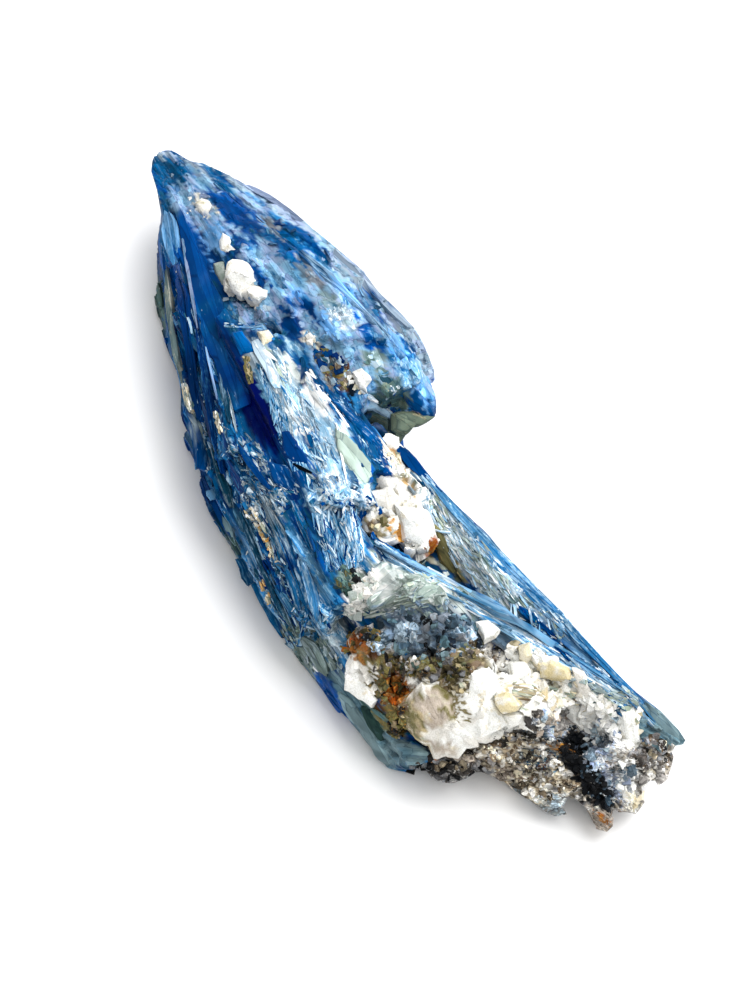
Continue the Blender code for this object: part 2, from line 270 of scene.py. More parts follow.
def outline_of_kyanite():
    """Middle, half width and height of the kyanite along X, smoothed."""
    points, _ = node_arrays("kyanite_blades")
    x = np.arange(points[:, 0].min() - SLICE, points[:, 0].max() + SLICE, SLICE)
    near = [points[np.abs(points[:, 0] - at) < SLICE * 2] for at in x]
    low = [p[:, 1].min() for p in near]
    high = [p[:, 1].max() for p in near]
    top = [p[:, 2].max() for p in near]
    kernel = np.ones(2 * SLICE_BLUR + 1) / (2 * SLICE_BLUR + 1)
    low, high, top = (
        np.convolve(np.pad(v, SLICE_BLUR, mode="edge"), kernel, mode="valid") for v in (low, high, top)
    )
    return x, (low + high) / 2, (high - low) / 2, top


OUTLINE = outline_of_kyanite()


def grain_of(points):
    """Coordinates that run along the blades and across them, in about millimetres."""
    x, middle, half, top = OUTLINE
    v = (points[:, 1] - np.interp(points[:, 0], x, middle)) / np.interp(points[:, 0], x, half)
    w = points[:, 2] / np.interp(points[:, 0], x, top)
    return np.stack([points[:, 0], v * GRAIN_HALF, (w * 2 - 1) * GRAIN_HALF], axis=1)


def grain_direction(points, reach=2.0):
    """Unit vectors along the blades, measured over a reach in millimetres."""
    x, middle, half, top = OUTLINE
    grain = grain_of(points)
    ahead = points[:, 0] + reach
    y = np.interp(ahead, x, middle) + grain[:, 1] / GRAIN_HALF * np.interp(ahead, x, half)
    z = (grain[:, 2] / GRAIN_HALF + 1) / 2 * np.interp(ahead, x, top)
    return unit(np.stack([np.full(len(points), reach), y - points[:, 1], z - points[:, 2]], axis=1))


# ---------------------------------------------------------------- colours

def linear(*srgb):
    """The linear colour for the red, green and blue that a screen shows, each from 0 to 255."""
    c = np.array(srgb) / 255
    return np.where(c <= 0.04045, c / 12.92, ((c + 0.055) / 1.055) ** 2.4)


INK = linear(4, 18, 32)
DEEP = linear(0, 6, 70)
NAVY = linear(2, 32, 84)
MARINE = linear(0, 54, 110)
ROYAL = linear(0, 62, 130)
COBALT = linear(0, 82, 148)
WINDOW = linear(2, 76, 122)
AZURE = linear(34, 106, 158)
TEAL = linear(20, 74, 98)
PETROL = linear(6, 44, 66)
STEEL = linear(80, 126, 156)
SKY = linear(128, 170, 198)
PALE = linear(182, 204, 216)
WHITE = linear(240, 241, 238)
MILK = linear(220, 217, 210)
CREAM = linear(220, 208, 180)
SAND = linear(184, 168, 130)
OCHRE = linear(196, 138, 52)
RUST = linear(146, 72, 18)
UMBER = linear(78, 46, 20)
OLIVE = linear(106, 100, 58)
SAGE = linear(150, 164, 146)
MOSS = linear(40, 62, 56)
FERN = linear(76, 100, 94)
LILAC = linear(142, 158, 190)
GREY = linear(128, 132, 138)
SLATE = linear(60, 82, 98)
BROWN = linear(106, 88, 68)
COAL = linear(12, 12, 14)
SOOT = linear(34, 32, 28)
PEWTER = linear(122, 136, 126)
MIST = linear(150, 166, 176)

# What a place is made of: its colours, the colours of the veins or grains in it, and their share.
Mix = namedtuple("Mix", "base veins share")
MIXES = {
    "blue": Mix((MARINE, ROYAL, TEAL, NAVY, AZURE), (SKY, STEEL), 0.25),
    "flank": Mix((NAVY, MARINE, WINDOW, WINDOW), (AZURE, STEEL), 0.36),
    "dark_flank": Mix((PETROL, NAVY, MARINE), (TEAL, STEEL), 0.22),
    "low_flank": Mix((PETROL, TEAL, WINDOW, AZURE), (STEEL, MIST), 0.42),
    "low_pale": Mix((WINDOW, AZURE, STEEL), (SKY, PALE), 0.42),
    "face": Mix((DEEP, DEEP), (NAVY,), 0.15),
    "face_side": Mix((NAVY, MARINE), (WINDOW, TEAL), 0.3),
    "royal": Mix((ROYAL, MARINE), (COBALT,), 0.3),
    "bright_royal": Mix((linear(0, 96, 164), linear(0, 84, 152)), (AZURE,), 0.25),
    "bright_coat": Mix((linear(88, 158, 226), linear(122, 176, 228), AZURE), (SKY, LILAC), 0.35),
    "cobalt": Mix((MARINE, NAVY), (ROYAL, COBALT), 0.25),
    "window": Mix((WINDOW, MARINE), (AZURE, PETROL), 0.35),
    "coating": Mix((STEEL, SKY, LILAC, AZURE), (SKY, WINDOW), 0.42),
    # Pale lilac rim colour; on the wedge's upper edge it is partly a painted highlight where light falls.
    "rim": Mix((LILAC, MIST, SKY), (SKY, SLATE), 0.4),
    "tip": Mix((WINDOW, WINDOW, PETROL), (STEEL, LILAC), 0.3),
    "cap": Mix((STEEL, linear(106, 152, 194)), (SKY, AZURE), 0.45),
    "flaky": Mix((STEEL, SKY, SKY, PALE), (WHITE, PALE), 0.42),
    "flaky_blue": Mix((AZURE, STEEL, STEEL), (SKY, PALE), 0.45),
    "flaky_white": Mix((PALE, SKY), (WHITE, WHITE), 0.5),
    "flaky_grey": Mix((SLATE, MIST, TEAL), (PALE, WHITE), 0.4),
    "specks": Mix((MARINE, WINDOW, NAVY), (SKY, PALE), 0.3),
    "snow": Mix((WHITE, WHITE), (MILK, CREAM), 0.25),
    "pale_sage": Mix((linear(174, 186, 182), linear(206, 212, 210)), (WHITE, SAGE), 0.38),
    "pale_slate": Mix((MIST, linear(176, 180, 174)), (PALE, SLATE), 0.3),
    "olive_rim": Mix((BROWN, OLIVE, linear(132, 120, 84)), (BROWN, CREAM), 0.25),
    "sage": Mix((SAGE, linear(176, 186, 168)), (PALE, FERN), 0.35),
    "ridge": Mix((AZURE, STEEL, WINDOW, SKY), (PALE, SKY), 0.4),
    "ridge_line": Mix((STEEL, SKY, AZURE), (PALE, WINDOW), 0.45),
    "mossy": Mix((FERN, MIST, STEEL), (WHITE, PALE), 0.4),
    "dim_moss": Mix((linear(78, 98, 98), linear(114, 128, 122), MOSS), (MIST, SAGE), 0.38),
    "moss": Mix((MOSS, FERN, PETROL), (SAGE, STEEL), 0.25),
    "corner": Mix((linear(88, 118, 128), linear(112, 134, 138), linear(76, 104, 116)), (GREY, STEEL), 0.3),
    "fibres": Mix((WINDOW, AZURE, STEEL, MARINE), (PALE, SKY), 0.4),
    "fan": Mix((SAGE, PALE), (WHITE, FERN), 0.4),
    "olive": Mix((SOOT, OLIVE, FERN), (PEWTER, COAL), 0.35),
    "dark_olive": Mix((linear(92, 90, 58), linear(112, 102, 62), MOSS), (OCHRE, SAND), 0.28),
    "band": Mix((SOOT, linear(76, 66, 40), OLIVE, BROWN), (SAND, COAL), 0.35),
    "fan_grey": Mix((linear(96, 110, 104), linear(132, 146, 138), linear(178, 186, 182)), (WHITE, FERN), 0.4),
    "crown_plate": Mix((linear(124, 142, 132), linear(152, 168, 158)), (PALE, SAGE), 0.3),
    "blunt_end": Mix((linear(36, 70, 84), linear(70, 96, 98), linear(96, 108, 92)), (SAND, MOSS), 0.3),
    "rock_shade": Mix((SOOT, linear(96, 90, 82), linear(140, 134, 124)), (MILK, COAL), 0.3),
    "warm_grey": Mix((linear(138, 126, 114), linear(172, 160, 146)), (MILK, SLATE), 0.3),
    "cream": Mix((CREAM, WHITE), (SAND, SAGE), 0.35),
    "cream_moss": Mix((FERN, MIST, SAGE), (PALE, SAND), 0.4),
    "straw": Mix((SAND, CREAM, SAGE), (WHITE, OLIVE), 0.4),
    "ochre": Mix((OCHRE, SAND), (CREAM, RUST), 0.35),
    "rust": Mix((RUST, linear(130, 82, 28), RUST), (OCHRE, BROWN), 0.35),
    "umber": Mix((UMBER, OLIVE, COAL), (OCHRE, BROWN), 0.3),
    "amber": Mix((OCHRE, RUST), (CREAM,), 0.2),
    "brown": Mix((PETROL, BROWN, TEAL, UMBER), (STEEL, SAND), 0.4),
    "slate": Mix((SLATE, GREY), (STEEL, PALE), 0.3),
    "quartz": Mix((WHITE, MILK, WHITE), (CREAM, GREY), 0.2),
    "milky": Mix((linear(150, 138, 126), linear(190, 178, 164)), (PALE, SAND), 0.35),
    "olive_cream": Mix((OLIVE, SAND, BROWN), (CREAM, UMBER), 0.35),
    "yellow": Mix((linear(206, 190, 132), CREAM, SAGE), (WHITE, SAND), 0.4),
    "granular": Mix((COAL, BROWN, GREY, linear(156, 146, 128), MILK), (SOOT, MILK), 0.38),
    "blue_black": Mix((INK, SLATE, COAL), (MIST, COAL), 0.35),
    "blue_grey": Mix((SLATE, linear(96, 116, 136), GREY), (MIST, INK), 0.4),
    "pale_grains": Mix((MIST, linear(130, 156, 178)), (WHITE, SLATE), 0.4),
    "brown_grey": Mix((SOOT, BROWN, linear(152, 140, 118), linear(184, 174, 152), MILK), (SOOT, CREAM), 0.36),
    "black": Mix((linear(5, 6, 8), linear(9, 13, 18)), (COAL, linear(40, 48, 58)), 0.12),
    "dark": Mix((SOOT, linear(88, 82, 78), GREY, linear(150, 146, 142)), (MILK, COAL), 0.34),
    "lilac_white": Mix((SLATE, GREY, LILAC, PALE), (WHITE, SLATE), 0.4),
    "white_grains": Mix((WHITE, CREAM, MIST), (SAGE, SLATE), 0.3),
    "grey_green": Mix((FERN, MIST, SAGE), (PALE, MOSS), 0.4),
}

# A patch is an ellipse of the view: its middle, its two radii, its turn in degrees and a mix. It
# goes no deeper than DEPTH from where its middle meets the solid, so it stays on its side.
Patch = namedtuple("Patch", "x y long short turn mix")
DEPTH = 6.0
SOFT = 0.25  # share of a patch's radius over which its edge fades

KYANITE_PATCHES = [Patch(*row) for row in (
    # Wedge: coating, its pale rim, then the dark blades that show through it.
    (215, 200, 74, 34, 40, "coating"),
    (300, 275, 84, 52, 45, "coating"),
    (370, 350, 84, 56, 50, "coating"),
    # The rim patches give the wedge's upper edge its own paler colour, and also a painted highlight where
    # light falls on that edge.
    (232, 178, 62, 9, 24, "rim"),
    (284, 208, 34, 9, 42, "rim"),
    (330, 250, 72, 12, 43, "rim"),
    (410, 340, 50, 12, 58, "rim"),
    (412, 372, 26, 13, 70, "flaky_blue"),
    (406, 350, 12, 9, 60, "window"),
    (225, 184, 14, 6, 40, "window"),
    (213, 171, 14, 6, 24, "tip"),
    (212, 267, 7, 10, 20, "bright_coat"),
    (168, 168, 22, 16, 50, "tip"),
    # Pale rim at the tip: its own colour, and partly a painted highlight.
    (166, 154, 10, 5, 20, "rim"),
    (234, 210, 38, 13, 44, "royal"),
    (289, 247, 34, 11, 46, "window"),
    (270, 225, 14, 5, 46, "slate"),
    (310, 275, 22, 6, 45, "slate"),
    (258, 276, 14, 6, 58, "royal"),
    (213, 240, 15, 14, 50, "bright_coat"),
    (330, 300, 16, 8, 45, "corner"),
    (308, 242, 30, 8, 46, "window"),
    (292, 347, 16, 7, 50, "flaky_blue"),
    (346, 290, 18, 7, 45, "bright_coat"),
    (396, 348, 14, 7, 55, "bright_coat"),
    (211, 255, 9, 6, 20, "cobalt"),
    (236, 240, 9, 5, 45, "cobalt"),
    (232, 253, 6, 3, 0, "cobalt"),
    (304, 300, 24, 6, 42, "bright_coat"),
    (284, 306, 10, 7, 20, "royal"),
    (294, 330, 18, 9, 40, "cobalt"),
    (314, 316, 18, 5, 48, "royal"),
    (327, 326, 12, 7, 48, "bright_coat"),
    (353, 325, 6, 7, 0, "corner"),
    (269, 325, 10, 5, 10, "flaky_blue"),
    (340, 314, 18, 10, 20, "flaky_grey"),
    (363, 325, 8, 6, 0, "royal"),
    (374, 344, 16, 7, 42, "royal"),
    (394, 362, 8, 5, 50, "window"),
    (420, 405, 22, 12, 42, "window"),
    (424, 397, 13, 8, 60, "bright_coat"),
    (394, 392, 22, 13, 40, "blunt_end"),
    (376, 362, 11, 12, 0, "grey_green"),
    (390, 402, 20, 14, 50, "blunt_end"),
    (415, 404, 12, 8, 44, "window"),
    (313, 340, 12, 6, 30, "cream"),
    (326, 356, 22, 10, 40, "brown"),
    (336, 374, 20, 11, 55, "brown"),
    # Painted shade: a black patch over the gap between blades, where only shade shows.
    (352, 388, 5, 13, 10, "black"),
    (204, 206, 10, 7, 30, "cream"),
    (384, 420, 26, 6, 24, "moss"),
    (408, 430, 26, 4, -20, "ochre"),
    # Flank, from the rounded top of the outer blade down to the foot.
    (190, 330, 150, 44, 76, "flank"),
    (235, 480, 150, 56, 62, "flank"),
    (165, 232, 30, 10, 84, "tip"),
    (156, 300, 34, 8, 86, "moss"),
    (270, 570, 110, 40, 62, "low_flank"),
    (225, 545, 28, 8, 66, "slate"),
    (305, 580, 62, 20, 62, "low_pale"),
    (306, 650, 42, 24, 28, "dim_moss"),
    (336, 640, 14, 26, 10, "mossy"),
    (422, 556, 24, 6, 35, "umber"),
    (262, 505, 22, 14, 20, "flaky_grey"),
    (222, 385, 40, 6, 80, "low_flank"),
    (192, 416, 38, 4, 77, "cream_moss"),
    (262, 462, 17, 5, 80, "flaky_grey"),
    (236, 545, 16, 7, 66, "moss"),
    (284, 560, 12, 8, 60, "face_side"),
    # The smooth face.
    (256, 395, 122, 22, 66, "face_side"),
    (256, 404, 64, 16, 63, "face"),
    (224, 360, 60, 18, 68, "cobalt"),
    (192, 255, 70, 15, 72, "royal"),
    (290, 478, 30, 18, 50, "specks"),
    (248, 466, 30, 13, 62, "low_flank"),
    # Crown.
    (256, 311, 26, 12, 10, "coating"),
    (208, 306, 40, 14, 70, "royal"),
    (272, 372, 52, 18, 58, "flaky_grey"),
    (288, 366, 18, 7, 52, "pale_sage"),
    (315, 430, 72, 26, 54, "flaky"),
    (316, 396, 24, 9, 62, "snow"),
    (303, 363, 10, 7, 40, "window"),
    (311, 440, 12, 8, 60, "window"),
    (300, 424, 14, 6, 50, "snow"),
    (266, 388, 18, 6, 60, "flaky_blue"),
    (348, 412, 66, 7, 47, "specks"),
    (374, 448, 34, 9, 52, "specks"),
    (335, 500, 34, 11, 8, "flaky"),
    (368, 500, 9, 15, 0, "flaky_white"),
    (334, 478, 16, 9, 30, "flaky_white"),
    (345, 508, 12, 3, 10, "royal"),
    (350, 545, 36, 22, 78, "fibres"),
    (350, 580, 15, 13, 0, "olive"),
    # Ridges towards the far corner.
    (540, 590, 210, 46, 47, "ridge"),
    (432, 472, 34, 10, 46, "royal"),
    (394, 462, 24, 7, 62, "cream"),
    (404, 484, 12, 7, 62, "cream"),
    (447, 552, 34, 9, 60, "dark_olive"),
    (470, 548, 50, 11, 52, "mossy"),
    (520, 600, 46, 12, 45, "mossy"),
    (478, 574, 36, 11, 48, "flaky_white"),
    (437, 562, 10, 5, 60, "straw"),
    (439, 510, 18, 7, 55, "flaky_white"),
    (546, 632, 34, 6, 44, "window"),
    (500, 618, 110, 12, 33, "ridge_line"),
    (662, 728, 36, 28, 46, "corner"),
    # Pale fan over the foot, and the blade at its corner.
    (412, 592, 66, 34, 12, "fan_grey"),
    (384, 580, 22, 14, -40, "pale_sage"),
    (372, 582, 9, 12, 30, "snow"),
    (354, 606, 9, 14, 20, "snow"),
    (362, 722, 62, 34, 42, "corner"),
    (372, 718, 20, 9, 60, "moss"),
    (337, 706, 50, 8, 59, "royal"),
    (396, 712, 40, 18, 84, "umber"),
    (560, 690, 74, 16, 36, "cream"),
    (440, 632, 72, 28, 6, "blue_grey"),
    (400, 752, 34, 16, 20, "corner"),
)]
ROCK_PATCHES = [Patch(*row) for row in (
    (432, 634, 56, 28, 4, "blue_grey"),
    (434, 650, 18, 11, 10, "black"),
    (394, 624, 10, 8, 0, "blue_black"),
    (472, 644, 8, 10, 0, "olive"),
    (503, 650, 8, 6, 20, "royal"),
    (432, 668, 50, 13, 2, "band"),
    (386, 668, 9, 13, 0, "umber"),
    (353, 643, 14, 11, 60, "rust"),
    (397, 690, 13, 16, 0, "rust"),
    (397, 716, 12, 26, 0, "umber"),
    (399, 725, 8, 9, 0, "ochre"),
    (450, 770, 46, 15, 6, "dark"),
    (527, 768, 56, 32, 32, "brown_grey"),
    (592, 700, 66, 20, 30, "white_grains"),
    (588, 708, 26, 20, 30, "snow"),
    (612, 698, 30, 14, 36, "grey_green"),
    (545, 724, 24, 15, 20, "lilac_white"),
    (542, 718, 15, 8, 10, "warm_grey"),
    (534, 712, 9, 6, 0, "black"),
    (510, 738, 26, 6, -16, "dark"),
    (537, 760, 17, 13, 0, "brown"),
    (597, 745, 17, 30, 10, "lilac_white"),
    (608, 726, 16, 12, 0, "snow"),
    (507, 772, 12, 9, 0, "warm_grey"),
    (465, 759, 9, 5, 0, "warm_grey"),
    (612, 785, 14, 18, 0, "lilac_white"),
    (630, 728, 13, 22, 0, "snow"),
    (629, 776, 10, 18, 0, "snow"),
    (574, 744, 16, 11, 0, "black"),
    (567, 760, 8, 12, 0, "black"),
    (592, 784, 36, 13, 58, "black"),
    (561, 749, 5, 5, 0, "amber"),
    (427, 759, 8, 5, 0, "amber"),
    (657, 757, 20, 26, 0, "dark"),
    (636, 804, 12, 10, 0, "cream"),
    (556, 806, 16, 12, 40, "pale_slate"),
    (504, 792, 34, 6, 30, "pale_slate"),
    (600, 820, 15, 13, 0, "warm_grey"),
    (662, 766, 14, 12, 0, "rock_shade"),
    (603, 816, 5, 4, 0, "amber"),
)]
QUARTZ_PATCHES = [Patch(*row) for row in (
    (436, 664, 62, 18, 4, "band"),
    (366, 640, 26, 20, 60, "umber"),
    (462, 642, 16, 9, 0, "blue_grey"),
    # Painted shade: the grey-beige band along the rounded bottom of the clear lump.
    (448, 748, 30, 7, 6, "milky"),
    (460, 740, 15, 13, 0, "snow"),
    (424, 742, 9, 12, 0, "cream"),
    (354, 644, 12, 12, 0, "rust"),
    (386, 668, 10, 14, 0, "umber"),
    (397, 690, 13, 20, 0, "rust"),
    (397, 722, 12, 20, 0, "umber"),
    (410, 715, 9, 32, -4, "olive_rim"),
    (434, 708, 21, 19, 50, "milky"),
    (421, 728, 4, 24, 0, "olive_cream"),
    (451, 698, 7, 20, -8, "olive_rim"),
    (453, 716, 6, 9, 0, "olive_rim"),
    (424, 493, 7, 9, -30, "mossy"),
    (508, 689, 9, 5, 0, "straw"),
    (440, 690, 12, 5, 10, "olive_rim"),
    (381, 690, 7, 14, 0, "umber"),
    (505, 704, 12, 10, 0, "yellow"),
    (545, 672, 38, 18, 30, "yellow"),
    (397, 531, 12, 6, 62, "amber"),
    (378, 528, 11, 9, 0, "olive_cream"),
    (398, 464, 28, 4, 62, "ochre"),
    (436, 552, 24, 10, 58, "rust"),
)]
PATCHES = {"kyanite": KYANITE_PATCHES, "mica_rock": ROCK_PATCHES, "quartz": QUARTZ_PATCHES}
GROUND = {"kyanite": "blue", "mica_rock": "granular", "quartz": "quartz"}
UNDER = "under"  # stands where a mix is named for the colours of the patches that lie there

FRAY_ALONG = 1.6  # mm that a patch's edge wanders along the grain
FRAY_ACROSS = 0.5  # and in any direction
FRAY_STREAKS = (0.12, 1.6, 1.6)  # how fine the wandering is along the grain and across it
FRAY_THREADS = (0.6, 2.6, 2.6)
FRAY_FINE = 1.4
VEIN_PICK = 8  # makes the pick of a vein's colour from that of the base
SHADE_PICK = 5  # and that of a shape's brightness


def blended(colours, pick):
    """A colour for each number from 0 to 1, passing smoothly through the list."""
    colours = np.array(colours)
    at = pick * (len(colours) - 1)
    low = np.minimum(at.astype(int), max(len(colours) - 2, 0))
    high = np.minimum(low + 1, len(colours) - 1)
    return mix(colours[low], colours[high], (at - low)[:, None])


def mixed(name, pick):
    """Seven numbers for each point: colour, vein colour and the veins' share."""
    look = MIXES[name]
    share = np.full((len(pick), 1), look.share)
    veins = blended(look.veins, again(pick, VEIN_PICK))
    return np.concatenate([blended(look.base, pick), veins, share], axis=1)


def paint(points, grain, pick, slot):
    """What each point is made of, from the patches of its mineral."""
    streak = noise(grain * FRAY_STREAKS, 71)
    fine = noise(grain * FRAY_THREADS, 72)
    frayed = points + grain_direction(points) * ((streak + fine) * FRAY_ALONG)[:, None]
    frayed += noise_vectors(points * FRAY_FINE, 73) * FRAY_ACROSS
    x, y, depth = pixels(frayed)
    look = mixed(GROUND[slot], pick)
    for patch in PATCHES[slot]:
        place, _ = hit(patch.x, patch.y)
        along, across = turned(x - patch.x, y - patch.y, patch.turn)
        deep = (depth - (EYE - place) @ BACK) / DEPTH
        reach = np.sqrt((along / patch.long) ** 2 + (across / patch.short) ** 2 + deep ** 2)
        weight = 1 - step(reach, 1 - SOFT / 2, 1 + SOFT / 2)
        look = mix(look, mixed(patch.mix, pick), weight[:, None])
    return look


# ---------------------------------------------------------------- meshes

def new_object(name, data):
    """An object in the scene."""
    obj = bpy.data.objects.new(name, data)
    bpy.context.scene.collection.objects.link(obj)
    return obj


def mesh_object(name, points, faces):
    """An object from points in millimetres and arrays of faces, of three and of four corners."""
    mesh = bpy.data.meshes.new(name)
    corners = np.concatenate([f.ravel() for f in faces])
    sizes = np.concatenate([np.full(len(f), f.shape[1]) for f in faces])
    mesh.vertices.add(len(points))
    mesh.vertices.foreach_set("co", (points * MM).ravel())
    mesh.loops.add(len(corners))
    mesh.loops.foreach_set("vertex_index", corners.astype(np.int32))
    mesh.polygons.add(len(sizes))
    mesh.polygons.foreach_set("loop_start", (np.cumsum(sizes) - sizes).astype(np.int32))
    mesh.update(calc_edges=True)
    mesh.validate()
    return new_object(name, mesh)


# How strongly the brightness wanders over a mineral, and how finely along and across the grain.
MOTTLE_GAIN = 1.8
MOTTLE_LIFT = 0.12
MOTTLE = {
    "kyanite": (0.38, (0.14, 0.6, 0.6)),
    "mica_rock": (0.8, (0.36, 0.36, 0.36)),
    "quartz": (0.12, (0.4, 0.4, 0.4)),
}


def mottle(points, slot):
    """Brightness that wanders over a mineral, the same for everything that lies there."""
    depth, scale = MOTTLE[slot]
    wander = np.clip(MOTTLE_GAIN * fractal(grain_of(points) * scale, 62, 2), -1, 1)
    return np.exp(depth * (wander + MOTTLE_LIFT))


def dress(obj, grain, look, shade, slot, sharp_degrees):
    """Writes the colours and the grain onto the mesh, and sets its shading and material."""
    mesh = obj.data
    base = np.concatenate([np.clip(look[:, 0:3] * shade[:, None], 0, 1), look[:, 6:7]], axis=1)
    veins = np.concatenate([np.clip(look[:, 3:6] * shade[:, None], 0, 1), look[:, 6:7]], axis=1)
    for name, values in (("paint", base), ("veins", veins)):
        attribute = mesh.color_attributes.new(name, "FLOAT_COLOR", "POINT")
        attribute.data.foreach_set("color", values.astype(np.float32).ravel())
    attribute = mesh.attributes.new("grain", "FLOAT_VECTOR", "POINT")
    attribute.data.foreach_set("vector", grain.astype(np.float32).ravel())
    mesh.shade_smooth()
    mesh.set_sharp_from_angle(angle=math.radians(sharp_degrees))
    mesh.materials.append(bpy.data.materials[slot + LOOK])
    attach(obj, BODY)


def remeshed(node, voxel):
    """Points, normals and faces of a CAD node, as an even mesh of small squares."""
    copy = new_object("copy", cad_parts[node].data.copy())
    remesh = copy.modifiers.new("remesh", "REMESH")
    remesh.mode = "VOXEL"
    remesh.voxel_size = voxel * MM
    graph = bpy.context.evaluated_depsgraph_get()
    mesh = copy.evaluated_get(graph).to_mesh()
    points = values_of(mesh.vertices, "co", 3) / MM
    normals = values_of(mesh.vertex_normals, "vector", 3)
    faces = values_of(mesh.loops, "vertex_index", 1, np.int32).reshape(-1, 4)
    bpy.data.objects.remove(copy)
    return points, normals, faces


def inside_outline(points):
    """Draws in what would show outside the outline of the view."""
    x, y, depth = pixels(points)
    spots = np.stack([x, y], axis=1)
    nearest = np.full(len(spots), np.inf)
    way = np.zeros_like(spots)
    inside = np.zeros(len(spots), bool)
    for a, b in zip(VIEW_OUTLINE, np.roll(VIEW_OUTLINE, -1, axis=0)):
        share = np.clip((spots - a) @ (b - a) / ((b - a) @ (b - a)), 0, 1)
        to_edge = a + share[:, None] * (b - a) - spots
        far = np.linalg.norm(to_edge, axis=1)
        closer = far < nearest
        nearest[closer] = far[closer]
        way[closer] = to_edge[closer]
        if a[1] != b[1]:
            inside ^= ((a[1] > y) != (b[1] > y)) & (x < (b[0] - a[0]) * (y - a[1]) / (b[1] - a[1]) + a[0])
    out = np.where(inside, -nearest, nearest)
    drawn = -EDGE * np.log1p(np.exp(-out / EDGE)) - out
    outward = np.where(inside, 1, -1)[:, None] * way / np.maximum(nearest, 1e-6)[:, None]
    shift = outward * (drawn * depth / PIXEL_SCALE)[:, None]
    return points + shift[:, :1] * RIGHT - shift[:, 1:] * UP


def settled(points):
    """Keeps points inside the outline, above the floor and under the ceiling."""
    points = inside_outline(points)
    over = np.maximum(points[:, 2] - (CEILING - UNDER_CEILING), 0)
    points[:, 2] += UNDER_CEILING * (1 - np.exp(-over / UNDER_CEILING)) - over
    points[:, 2] = np.maximum(points[:, 2], 0.0)
    return points


def near_pixel(points, x, y, long, short, turn, soft=0.3):
    """1 inside an ellipse of the view, 0 outside it."""
    px, py, _ = pixels(points)
    along, across = turned(px - x, py - y, turn)
    return 1 - step(np.hypot(along / long, across / short), 1 - soft, 1 + soft)


# ---------------------------------------------------------------- skins over the solids

KYANITE_VOXEL = 0.365
ROCK_VOXEL = 0.26
QUARTZ_VOXEL = 0.2
SMOOTH_FACE = (250, 380, 150, 30, 66)  # ellipse of the view where the kyanite stays smooth
WEDGE = (300, 280, 170, 85, 47)  # and where it is lumpy under its coating
SMOOTH_LUMP = (443, 722, 40, 38, 70)  # the clear lump of the foot, with rounded edges
SHADE_RANGE = (-0.6, 0.35)  # mm of relief over which painted shade darkens hollows and a painted highlight brightens raised edges
SHARP = 30  # degrees from which an edge of a skin stays sharp
WARP = 1.2  # mm that the facets' grain wanders
WARP_SCALE = 0.16
# The facets of the skins, in mm; the kyanite's are long along the grain.
BROAD_FACET = (14, 2.6, 2.6)
NARROW_FACET = (6, 0.9, 0.9)
COARSE_GRAIN = 2.1
FINE_GRAIN = 0.8
LARGE_BREAK = 3.0
SMALL_BREAK = 1.0
SMOOTHING = 0.85  # share of the relief that the smooth face loses


def finish_skin(node, points, faces, pick, height, painted_relief_shade, slot):
    """Makes a skin the node's replacement, with painted shade in its hollows and painted highlights on its
    raised edges.
    """
    obj = mesh_object(node + "_body", points, [faces])
    grain = grain_of(points)
    # Painted shade and highlight: the colour darkens in the skin's hollows and lightens on its raised relief,
    # by its height.
    shade = mottle(points, slot) * (1 + painted_relief_shade * np.clip(height, *SHADE_RANGE))
    dress(obj, grain, paint(points, grain, pick, slot), shade, slot, SHARP)
    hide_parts(node)
    return points, faces


def kyanite_skin():
    """The cluster's body: long tilted facets along the grain, lumpier under the wedge's coating."""
    points, normals, faces = remeshed("kyanite_blades", KYANITE_VOXEL)
    grain = grain_of(points)
    warped = grain + noise_vectors(grain * WARP_SCALE, 11) * WARP
    broad = facets(warped / BROAD_FACET, 21, 0.9, 0.35)
    narrow = facets(warped / NARROW_FACET, 22, 0.35, 0.18)
    lumps = fractal(points * 0.7, 23)
    smooth = near_pixel(points, *SMOOTH_FACE)
    wedge = near_pixel(points, *WEDGE)
    bladed = broad * 0.45 + narrow * 0.5
    coated = lumps * 0.5 + narrow * 0.3 + broad * 0.15
    height = mix(bladed, coated, wedge)
    height *= 1 - SMOOTHING * smooth
    points = settled(points + normals * height[:, None])
    streaks = noise(warped * (0.1, 0.8, 0.8), 24)
    blotches = fractal(warped * (0.35, 0.8, 0.8), 25, 3) * 1.4
    pick = spread(mix(streaks, blotches, wedge), 1.8)
    return finish_skin("kyanite_blades", points, faces, pick, height, 0.6, "kyanite")


def rock_skin():
    """The mica rock: coarse and fine broken grains."""
    points, normals, faces = remeshed("mica_rock", ROCK_VOXEL)
    coarse = facets(points / COARSE_GRAIN, 31, 0.8, 0.4)
    fine = facets(points / FINE_GRAIN, 32, 0.4, 0.2)
    height = coarse * 0.5 + fine * 0.4 + 0.15 * fractal(points * 1.6, 33)
    points = settled(points + normals * height[:, None])
    pick = spread(noise(points * 1.1, 34), 2)
    return finish_skin("mica_rock", points, faces, pick, height, 0.9, "mica_rock")


def quartz_skin(node):
    """Broken quartz: large flat fractures with small ones along their edges."""
    points, normals, faces = remeshed(node, QUARTZ_VOXEL)
    large = facets(points / LARGE_BREAK, 41, 1.3, 0.4)
    small = facets(points / SMALL_BREAK, 42, 0.3, 0.1)
    height = large * 0.75 + small * 0.3 + 0.05 * fractal(points * 2.5, 43)
    smooth = near_pixel(points, *SMOOTH_LUMP)
    height = mix(height, 0.35 * fractal(points * 0.5, 45, 2), smooth)
    points = settled(points + normals * height[:, None])
    pick = spread(noise(points * 0.7, 44), 2)
    return finish_skin(node, points, faces, pick, height, 0.4, "quartz")


# ---------------------------------------------------------------- many small shapes in one mesh

